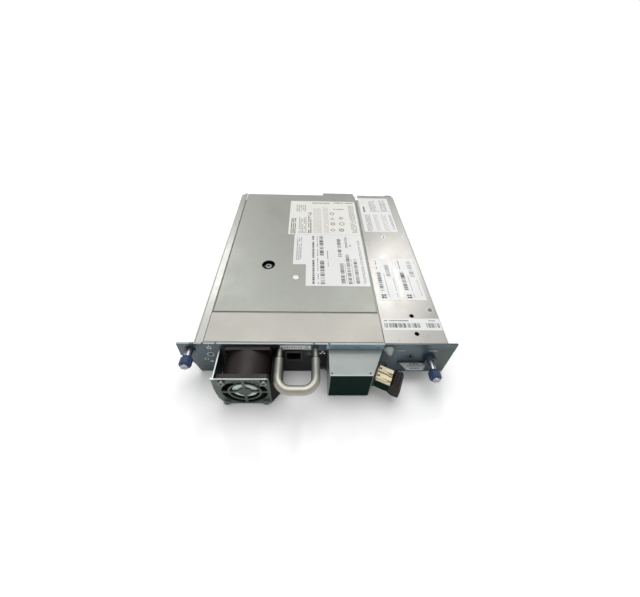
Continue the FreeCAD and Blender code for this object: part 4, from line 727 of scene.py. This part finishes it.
prints = {
    "regulatory_print": (drive_top, [
        (98.0, 218.4, 122.0, 220.6, "bold", 1, 20), (126.7, 219.3, 153.0, 221.5, "bold", 1, 24),
        (76.6, 198.0, 89.8, 214.5, "text", 5, 5, grey_ink), (71.3, 150.6, 78.0, 183.0, "text", 3, 14),
        (81.0, 151.8, 91.0, 185.5, "text", 5, 9, grey_ink), (92.3, 152.0, 97.2, 196.5, "text", 2, 20),
        (99.2, 152.3, 109.3, 206.5, "text", 8, 22, faint_ink),
        (112.2, 152.5, 118.4, 209.5, "text", 5, 22, faint_ink),
        (145.4, 153.3, 152.8, 214.5, "text", 4, 22, grey_ink),
        (125.5, 203.4, 140.0, 206.2, "bold", 1, 5, grey_ink)]),
    "drive_print": (drive_top, [
        (79.7, 103.6, 86.1, 144.2, "text", 3, 18, grey_ink), (97.6, 68.5, 100.1, 146.5, "bold", 1, 30),
        (102.9, 68.5, 104.2, 146.8, "text", 1, 26), (106.0, 111.6, 110.4, 146.8, "bars", 1, 34),
        (106.0, 68.0, 110.4, 103.6, "bars", 1, 34), (114.0, 94.0, 115.2, 120.0, "text", 1, 9),
        (126.2, 109.5, 130.2, 141.5, "bars", 1, 30), (135.0, 124.4, 138.0, 144.6, "text", 2, 8),
        (140.2, 127.0, 141.6, 131.0, "bold", 1, 2), (127.0, 69.6, 131.0, 99.2, "bars", 1, 28),
        (134.2, 69.0, 138.0, 113.4, "bars", 1, 42), (139.2, 69.2, 140.3, 106.0, "text", 1, 16, grey_ink),
        (142.0, 69.2, 145.6, 107.6, "bars", 1, 36), (132.0, 69.2, 133.0, 104.0, "text", 1, 14, grey_ink),
        (149.4, 69.2, 152.4, 139.0, "text", 2, 30, grey_ink)]),
    "bay_far_print": (cover_top, [
        (165.4, 198.5, 168.0, 212.5, "bold", 1, 4), (174.5, 200.0, 183.5, 227.5, "text", 5, 9, grey_ink),
        (189.0, 200.3, 197.4, 229.0, "text", 5, 9, grey_ink),
        (165.6, 157.2, 172.6, 193.0, "text", 4, 12, grey_ink),
        (176.8, 157.3, 182.2, 193.4, "text", 5, 14, faint_ink),
        (186.8, 157.8, 193.2, 193.6, "text", 5, 14, faint_ink),
        (196.8, 161.0, 200.2, 194.0, "text", 2, 14, grey_ink)]),
    "bay_left_print": (cover_top, [
        (164.2, 50.3, 169.2, 55.9, "bold", 2, 2), (164.4, 60.0, 168.2, 86.6, "bars", 1, 26),
        (174.0, 79.0, 178.2, 97.8, "bars", 1, 20, grey_ink),
        (171.0, 52.0, 172.2, 84.0, "text", 1, 12, grey_ink),
        (179.6, 52.0, 180.8, 78.0, "text", 1, 9, grey_ink), (164.8, 91.0, 166.2, 104.0, "text", 1, 4)]),
    "bay_right_print": (cover_top, [
        (188.8, 50.4, 193.8, 56.0, "bold", 2, 2), (188.6, 60.2, 192.6, 87.0, "bars", 1, 26),
        (198.6, 79.3, 203.2, 103.2, "bars", 1, 24, grey_ink),
        (195.4, 52.0, 196.6, 84.0, "text", 1, 12, grey_ink),
        (203.4, 54.0, 204.6, 76.0, "text", 1, 8, grey_ink), (189.4, 91.0, 190.8, 104.0, "text", 1, 4)]),
    "bay_near_print": (cover_top, [
        (160.8, 17.0, 192.6, 21.7, "bars", 1, 52), (198.1, 17.0, 209.8, 21.9, "bars", 1, 18),
        (161.0, 23.5, 183.2, 25.3, "text", 1, 14), (201.4, 23.7, 207.4, 25.3, "text", 1, 4)]),
}
for number, (name, (height, blocks)) in enumerate(prints.items()):
    piece = merged(name, [block(height, 11 * number + index, *row) for index, row in enumerate(blocks)])
    print(name, len(piece.data.polygons), "faces")

# %% [markdown]
# A few round and three-cornered marks on the regulatory sticker break up its rows. They are plain
# rings and wedges, each a flat ring pushed up by the thickness of ink.

# %% Rings and wedges
def polygon(x, y, radius, sides, first=math.pi / 2.0):
    """Corners of an outline with equal sides, from a first angle."""
    turns = [2.0 * math.pi * step / sides + first for step in range(sides)]
    return [(x + radius * math.cos(turn), y + radius * math.sin(turn)) for turn in turns]


def ring_marks(name, marks, height, material, place=at, thick=ink_thick):
    """Flat rings: centre, outer and inner size, and number of sides."""
    def build(work):
        for x, y, outer, inner, sides in marks:
            hollow_plate(work, polygon(x, y, outer, sides), polygon(x, y, inner, sides), height,
                         height + thick, place)
    return mesh_piece(name, build, material)


drive_rings = [
    (123.2, 194.2, 2.9, 2.1, 24), (123.2, 182.8, 3.1, 2.0, 3), (134.4, 184.0, 2.6, 1.5, 6),
    (123.3, 171.4, 2.8, 1.8, 16), (134.8, 171.7, 3.3, 2.5, 24), (122.8, 158.7, 3.2, 2.3, 4),
    (133.4, 158.9, 3.2, 2.4, 24), (133.4, 158.9, 1.5, 0.8, 6),
]
bay_rings = [(167.0, 222.5, 1.3, 0.9, 16), (186.0, 201.5, 1.4, 1.0, 12), (200.0, 201.0, 1.4, 0.9, 3)]
ring_marks("regulatory_rings", drive_rings, drive_top + paper_thick, ink)
ring_marks("bay_rings", bay_rings, cover_top + paper_thick, grey_ink)
print("rings:", len(drive_rings) + len(bay_rings))

# %% [markdown]
# The bay cover has a flat rivet head near the panel, a shallow dimple further back, and beside that
# a screw whose recess gets painted shade, a thin dark disc. The hub of the take-up reel, seen
# through its access hole, ends in a spindle. All four are turned shapes, so one helper spins a
# profile of radius and height round an axis.

# %% Turned trim
def turned_piece(name, centre, profile, material, body="chassis"):
    """Spin a profile of (radius, height) pairs that starts and ends on the axis."""
    sides = 32

    def build(work):
        x, y, z = centre
        rings = []
        for radius, height in profile:
            if radius == 0.0:
                rings.append([work.verts.new(at(x, y, z + height))] * sides)
            else:
                rings.append([work.verts.new(at(a, b, z + height))
                              for a, b in polygon(x, y, radius, sides, 0.0)])
        for inner, outer in zip(rings, rings[1:]):
            for k in range(sides):
                after = (k + 1) % sides
                corners = list(dict.fromkeys((inner[k], inner[after], outer[after], outer[k])))
                if len(corners) > 2:
                    work.faces.new(corners)
    return mesh_piece(name, build, material, body)


turned_piece("bay_rivet", (206.2, 36.9, cover_top), [
    (0.0, 0.0), (1.9, 0.0), (2.1, 0.12), (1.9, 0.28), (1.0, 0.36), (0.9, 0.22), (0.0, 0.22)], rivet_bronze)
turned_piece("bay_dimple", (207.2, 145.7, cover_top), [
    (0.0, 0.0), (2.2, 0.0), (2.1, 0.1), (1.5, 0.12), (1.2, 0.04), (0.0, 0.04)], sheet_bay)
reel_low, reel_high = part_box("takeup_reel")
reel_middle = [((reel_low[axis] + reel_high[axis]) / 2.0 - corner[axis]) / MM for axis in (0, 1)]
reel_top = top_of("takeup_reel")
print("reel hub top:", round(reel_top, 2), "at", [round(v, 2) for v in reel_middle])
turned_piece("reel_spindle", (*reel_middle, reel_top), [
    (0.0, 0.0), (6.0, 0.0), (6.0, 4.2), (5.4, 4.2), (5.2, 1.2), (3.6, 1.2), (3.6, 6.2), (3.1, 6.7),
    (1.7, 6.7), (1.5, 5.6), (0.0, 5.6)], dull_steel, "takeup")
# Painted shade: a thin dark disc stands for the shade in the screw head's recess.
turned_piece("screw_recess", (182.5, 146.0, top_of("cover_screws")), [
    (0.0, -0.05), (0.9, -0.05), (0.8, 0.03), (0.0, 0.03)], ink)

# %% [markdown]
# The panel's own marks are screen printed in white. Its face is upright, so the same helpers are
# used with another map from flat places to the frame: the first number stays X, the second
# becomes height, and thickness grows towards the user. Above the network socket a thin sticker has
# a row of dashes, and two low rings stand out of the sheet, one of them round the gauge hole.

# %% Marks on the panel
label_thick, paint_thick, dimple_out = 0.1, 0.03, 0.12


def on_panel(x, z, out):
    """A place on the rear panel's outer face, standing out by some millimetres."""
    return at(x, -out, z)


plates("port_strip_sticker", [rectangle(70.8, 35.3, 96.4, 40.9)], 0.0, label_thick, on_panel, label_paper,
       radius=0.5)
strip_marks = []
dash_first, dash_step = 72.6, 1.9
for step in range(9):
    left = dash_first + dash_step * step
    strip_marks.append(rectangle(left, 37.0, left + (1.1 if step % 3 else 0.6), 39.2))
strip_marks += [rectangle(91.0, 36.6, 94.6, 37.4), rectangle(91.8, 38.2, 94.0, 39.6)]
plates("port_strip_print", strip_marks, label_thick, label_thick + ink_thick, on_panel, grey_ink)
panel_marks = [
    (10.4, 35.4, 14.0, 36.0), (10.4, 38.0, 14.0, 38.6), (10.4, 36.0, 11.0, 38.0),
    (13.4, 36.0, 14.0, 38.0), (11.9, 38.6, 12.5, 40.4), (105.6, 31.0, 107.4, 32.6),
    (104.0, 28.4, 105.8, 30.0), (107.2, 28.4, 109.0, 30.0), (106.2, 30.0, 106.8, 31.0),
    (66.8, 31.4, 67.6, 34.6), (68.2, 31.4, 69.0, 33.6), (9.8, 17.0, 12.4, 17.6), (9.8, 15.6, 12.4, 16.2),
]
plates("panel_print", [rectangle(*box) for box in panel_marks], 0.0, paint_thick, on_panel, white_ink)
panel_rings = [(11.8, 27.1, 2.9, 2.4, 24), (7.1, 20.0, 1.9, 1.5, 20)]
panel_dimples = [(94.9, 29.3, 3.1, 2.6, 24), (183.1, 24.8, 3.6, 2.9, 32)]
ring_marks("panel_rings", panel_rings, 0.0, white_ink, on_panel, paint_thick)
ring_marks("panel_dimples", panel_dimples, 0.0, guard_paint, on_panel, dimple_out)
print("marks on the panel:", len(strip_marks) + len(panel_marks) + len(panel_rings))

# %% [markdown]
# Small notches sit along the panel's top edge, where the covers hook over it. Each gets a thin
# dark plate of painted shade, because a notch this small shows only as a dark spot of shade.

# %% Painted shade in the notches along the seam
notches = [(-1.3, 1.9), (7.2, 0.8), (18.2, 0.8), (98.8, 0.8), (111.5, 0.8), (215.6, 1.9)]
notch_near, notch_far, notch_thick = 0.2, 1.45, 0.02
panel_top = top_of("rear_panel")
notch_plates = [rectangle(x - half, notch_near, x + half, notch_far) for x, half in notches]
# Painted shade in each notch.
plates("seam_notches", notch_plates, panel_top, panel_top + notch_thick, at, ink)
print("notches:", len(notches))

# %% [markdown]
# The covers do not touch: a gap of about half a millimetre runs round the drive. A narrow pale strip
# of sheet lies a little below each gap, as the folded edges of the sled do.

# %% Strips under the gaps
gap_strips = [rectangle(7.0, 1.6, 8.05, 226.0), rectangle(8.15, 33.35, 157.35, 33.85),
              rectangle(157.45, 1.6, 158.25, 240.0)]
strip_low, strip_high = drive_top - 1.4, drive_top - 1.0
plates("gap_strips", gap_strips, strip_low, strip_high, at, sheet_zinc)
print("strips:", len(gap_strips), "with their tops at", round(strip_high, 2))

# %% [markdown]
# Under the gauge hole a tab is bent out of the panel like a small shelf. It carries a pale label
# with three rows of print, which faces the person looking down on it.

# %% Label on the tab
tab_top, word_gap = 16.2, 0.45
tab_outline = [(174.4, -1.2), (179.9, -8.0), (193.8, -8.0), (200.7, -1.2)]
plates("tab_label", [tab_outline], tab_top, tab_top + label_thick, at, tab_paper, radius=0.5)
tab_rows = [(183.4, 192.6, -2.3, 1.0), (180.9, 193.4, -4.2, 0.8), (183.0, 191.4, -6.3, 0.9)]
tab_marks = []
for first, last, y, deep in tab_rows:
    x = first
    for long in (1.5, 0.9, 2.1, 1.2, 0.8, 1.8, 1.1) * 2:
        if x + long > last:
            break
        tab_marks.append(rectangle(x, y - deep / 2.0, x + long, y + deep / 2.0))
        x += long + word_gap
print_low = tab_top + label_thick
plates("tab_print", tab_marks, print_low, print_low + ink_thick, at, ink)
print("marks on the tab:", len(tab_marks))

# %% [markdown]
# Small trim comes next. The hood over the optical port gets painted shade on its front face, a
# dark plate inside a light rim, and the network socket has a narrow lip of darkened metal. Each is
# a thin plate that sits on the solid behind it.

# %% Painted shade on the hood face, and the socket lip
face_thick, lip_thick = 0.12, 0.15
# This dark, nearly glossless face is painted shade; the plug's sides use it too.
hood_painted_shade = moulded("hood_dark_face", srgb(11, 31, 27), 0.34, 500.0, 0.000004, Specular_IOR_Level=0.01)
hood_front, jack_front = front_of("interface_hood"), front_of("ethernet_jack")
plates("hood_front_face", [rectangle(112.1, 1.6, 145.6, 34.1)], hood_front, hood_front + face_thick,
       on_panel, hood_painted_shade, radius=0.8)


def build_lip(work):
    hollow_plate(work, rectangle(74.9, 18.8, 89.1, 34.1), rectangle(76.0, 20.4, 88.0, 30.5), jack_front,
                 jack_front + lip_thick, on_panel)


mesh_piece("socket_lip", build_lip, lip_steel)
print("hood and socket stand out by", round(hood_front, 2), "and", round(jack_front, 2))

# %% [markdown]
# The contacts of a network socket are one bent wire repeated eight times at 1.02 mm. The tree
# makes one wire from a curve of three points, gives it a round section, and lines the copies up.

# %% Socket contacts
def comb_tree():
    """A row of equal wires that follow a curve through three points."""
    tree, given, add, close = input_tree("wire_comb", [
        ("Start", "Vector"), ("Middle", "Vector"), ("End", "Vector"), ("Count", "Int"), ("Step", "Vector"),
        ("Radius", "Float"), ("Material", "Material")])
    curve = add("GeometryNodeCurveQuadraticBezier", {"Start": given["Start"], "Middle": given["Middle"],
                                                     "End": given["End"], "Resolution": 6})
    ring = add("GeometryNodeCurvePrimitiveCircle", {"Radius": given["Radius"], "Resolution": 8})
    wire = add("GeometryNodeCurveToMesh", {"Curve": curve.outputs[0], "Profile Curve": ring.outputs["Curve"],
                                           "Fill Caps": True})
    line = add("GeometryNodeMeshLine", {"Count": given["Count"], "Offset": given["Step"]})
    copies = add("GeometryNodeInstanceOnPoints", {"Points": line.outputs[0], "Instance": wire.outputs[0]})
    close(copies.outputs[0], given["Material"])
    return tree


wire_comb = comb_tree()
contact_step, contact_count, contact_radius = 1.02, 8, 0.2
contacts = grown(wire_comb, start=at(78.43, 10.5, 29.9), middle=at(78.43, 3.0, 30.2),
                 end=at(78.43, 6.5, 26.2), count=contact_count, step=Vector((contact_step, 0, 0)) * MM,
                 radius=contact_radius * MM, material=gold)
merged("socket_contacts", [contacts])
print("contacts:", contact_count)

# %% [markdown]
# The fan's hub is a flat cap with a round silver sticker on it, and the sticker has a few lines of
# print. All three turn with the fan, so they ride on its body.

# %% Fan cap and sticker
fan_x, fan_z, fan_face = 44.3, 20.2, 26.4
hub_cap = 1.1
sticker_top = hub_cap + label_thick


def on_hub(x, z, out):
    """A place on the fan hub, by distance from the fan's middle."""
    return at(fan_x + x, -fan_face - out, fan_z + z)


def disc(radius):
    return [polygon(0.0, 0.0, radius, 48, 0.0)]


plates("hub_cap", disc(10.4), 0.0, hub_cap, on_hub, fan_plastic, "fan")
plates("hub_sticker", disc(10.1), hub_cap, sticker_top, on_hub, hub_sticker, "fan")
hub_marks = [(-5.0, 2.6, 5.0, 3.2), (-6.0, 0.6, -1.0, 1.2), (0.2, 0.6, 5.6, 1.2), (-5.6, -1.4, 4.2, -0.8),
             (-4.0, -3.6, 3.6, -2.4)]
plates("hub_print", [rectangle(*box) for box in hub_marks], sticker_top, sticker_top + ink_thick, on_hub,
       grey_ink, "fan")
print("lines on the fan's sticker:", len(hub_marks))

# %% [markdown]
# The duplex plug leans out of the hood's slanted wall, so its trim is easier to place in the
# plug's own directions: along the plug, across it towards the panel, and up. Its long sides get
# painted shade, dark green plates under the cream clip, and a wire bail lies beside it.

# %% Painted shade on the plug's cheeks
hood_corner, hood_tip, port_along = (157.0, 0.0), (146.0, -23.0), 15.8
wall_way = Vector((hood_tip[0] - hood_corner[0], hood_tip[1] - hood_corner[1])).normalized()
plug_way = Vector((-wall_way.y, wall_way.x))
port_spot = Vector(hood_corner) + wall_way * port_along


def on_plug(along, across, z):
    """A place beside the optical port: out of the hood's wall, across towards the panel, height."""
    flat = port_spot + plug_way * along - wall_way * across
    return at(flat.x, flat.y, z)


plug_half, cheek_thick = 6.65, 0.12


# Painted shade: a dark plate on each long side of the plug.
def build_cheek_shade(work):
    for side in (-1.0, 1.0):
        def place(a, b, out, side=side):
            return on_plug(a, side * (plug_half + out), b)
        plate(work, rounded_outline(rectangle(0.6, 14.6, 14.6, 24.6), 0.6, 2), 0.0, cheek_thick, place)


mesh_piece("plug_cheeks", build_cheek_shade, hood_painted_shade, "plug")
print("plug leans out at", round(math.degrees(math.atan2(plug_way.y, plug_way.x)), 1), "degrees")

# %% [markdown]
# The bail is a bent spring wire. A curve with a round section follows a few points and is turned
# into a plain mesh with closed ends.

# %% Port bail
bail_radius = 0.55
bail_points = [(0.4, 7.9, 27.4), (3.0, 8.6, 28.4), (6.4, 9.4, 28.2), (6.8, 9.4, 25.4), (3.2, 8.4, 23.6),
               (0.4, 7.9, 23.0)]
curve = bpy.data.curves.new("port_bail", "CURVE")
curve.dimensions = "3D"
curve.bevel_depth = bail_radius * MM
curve.bevel_resolution = 2
curve.use_fill_caps = True
spline = curve.splines.new("NURBS")
spline.points.add(len(bail_points) - 1)
for point, place in zip(spline.points, bail_points):
    point.co = (*on_plug(*place), 1.0)
spline.order_u = 3
spline.use_endpoint_u = True
spline.resolution_u = 8
holder = in_scene("port_bail_curve", curve)
bail = bpy.data.meshes.new_from_object(holder.evaluated_get(bpy.context.evaluated_depsgraph_get()))
bpy.data.objects.remove(holder)
bail.materials.clear()
bail.materials.append(black_plastic)
add_piece("port_bail", bail, "chassis")
print("bail:", len(bail.polygons), "faces")

# %% [markdown]
# The photograph looks down on the rear panel from close by with a wide lens. The camera below was
# worked out from the sled's straight edges: where it stands, how it is turned, and its focal length.

# %% Camera
camera_place = (92.475, -145.206, 267.406)
camera_pitch, camera_yaw, camera_roll = 0.707, 0.044, 0.043
focal_px, centre_px = 311.408, (318.0, 251.615)
frame_px = (640.0, 597.0)

forward = Vector((math.sin(camera_yaw) * math.cos(camera_pitch),
                  math.cos(camera_yaw) * math.cos(camera_pitch), -math.sin(camera_pitch)))
level = Vector((math.cos(camera_yaw), -math.sin(camera_yaw), 0.0))
upright = level.cross(forward)
right = level * math.cos(camera_roll) + upright * math.sin(camera_roll)
up = upright * math.cos(camera_roll) - level * math.sin(camera_roll)
camera_data = bpy.data.cameras.new("photo_camera")
camera_data.sensor_width = 36.0
camera_data.lens = focal_px / frame_px[0] * camera_data.sensor_width
camera_data.shift_x = (frame_px[0] / 2.0 - centre_px[0]) / frame_px[0]
camera_data.shift_y = (centre_px[1] - frame_px[1] / 2.0) / frame_px[0]
camera_data.clip_start, camera_data.clip_end = 0.01, 900.0
camera = in_scene("photo_camera", camera_data)
turned = Matrix((right, up, -forward)).transposed().to_4x4()
camera.matrix_world = Matrix.Translation(at(*camera_place)) @ turned
bpy.context.scene.camera = camera
print("lens, mm:", round(camera_data.lens, 2))

# %% [markdown]
# The object stands on a plain pale floor. It is wide enough to reach the horizon from any side and
# lies a fifth of a millimetre below the sled, so that the two never share a face.

# %% Floor
reach, floor_drop = 300.0, 0.0002
floor_mesh = bpy.data.meshes.new("floor")
floor_mesh.from_pydata([(x, y, 0) for x, y in rectangle(-reach, -reach, reach, reach)], [], [(0, 1, 2, 3)])
floor = in_scene("floor", floor_mesh)
floor.location.z = cad_low.z - floor_drop
pale, paler = (0.87, 0.87, 0.87), (0.90, 0.90, 0.90)
floor_finish = Finish("pale_floor", paler, 0.0, 0.8, Specular_IOR_Level=0.1)
floor_finish.colour(floor_finish.blend(floor_finish.noise(3.0, 2.0), paler, pale))
floor_mesh.materials.append(floor_finish.material)
print("floor at", round(1000 * floor.location.z, 2), "mm")

# %% [markdown]
# One broad sun stands high behind the object and gives the covers their sheen; being a sun, it
# lights the whole floor alike. The sky is fairly bright overhead and dim at middle heights, so
# upright faces stay darker than the covers; near the horizon it is white, as the floor looks there.
# Two small soft boxes give the bay cover and the tray's left wall their glare.

# %% Lights and sky
def hang(data, place, way):
    """Hang a lamp at a place, shining along a way."""
    lamp = in_scene(data.name, data)
    lamp.location = place
    lamp.rotation_euler = way.to_track_quat("-Z", "Y").to_euler()


def soft_lamp(name, place, target, size, power):
    """A round soft box; size in metres, power in watts."""
    data = bpy.data.lights.new(name, "AREA")
    data.shape = "DISK"
    data.size = size
    data.energy = power
    hang(data, at(*place), at(*target) - at(*place))


high_sun = bpy.data.lights.new("high_sun", "SUN")
high_sun.energy = 1.5
high_sun.angle = math.radians(45.0)
hang(high_sun, Vector(), Vector((0.0, -0.25, -1.0)))
soft_lamp("bay_sheen", (560.0, 1080.0, 1060.0), (175.0, 70.0, 42.0), 0.22, 2.6)
soft_lamp("wall_sheen", (-470.0, 1180.0, 1090.0), (3.0, 90.0, 42.0), 0.30, 3.4)

world = bpy.data.worlds.new("studio")
world.use_nodes = True
sky = world.node_tree
sky_way = add_node(sky, "ShaderNodeTexCoord").outputs["Generated"]
sky_height = add_node(sky, "ShaderNodeSeparateXYZ", {"Vector": sky_way}).outputs["Z"]
sky_shade = add_node(sky, "ShaderNodeValToRGB", {"Fac": sky_height})
set_stops(sky_shade.color_ramp, ((0.0, 1.0), (0.26, 0.96), (0.40, 0.42), (0.8, 0.78)))
sky.links.new(sky_shade.outputs["Color"], sky.nodes["Background"].inputs["Color"])
bpy.context.scene.world = world
bpy.context.scene.view_settings.view_transform = "Standard"
print("lamps:", len(bpy.data.lights))
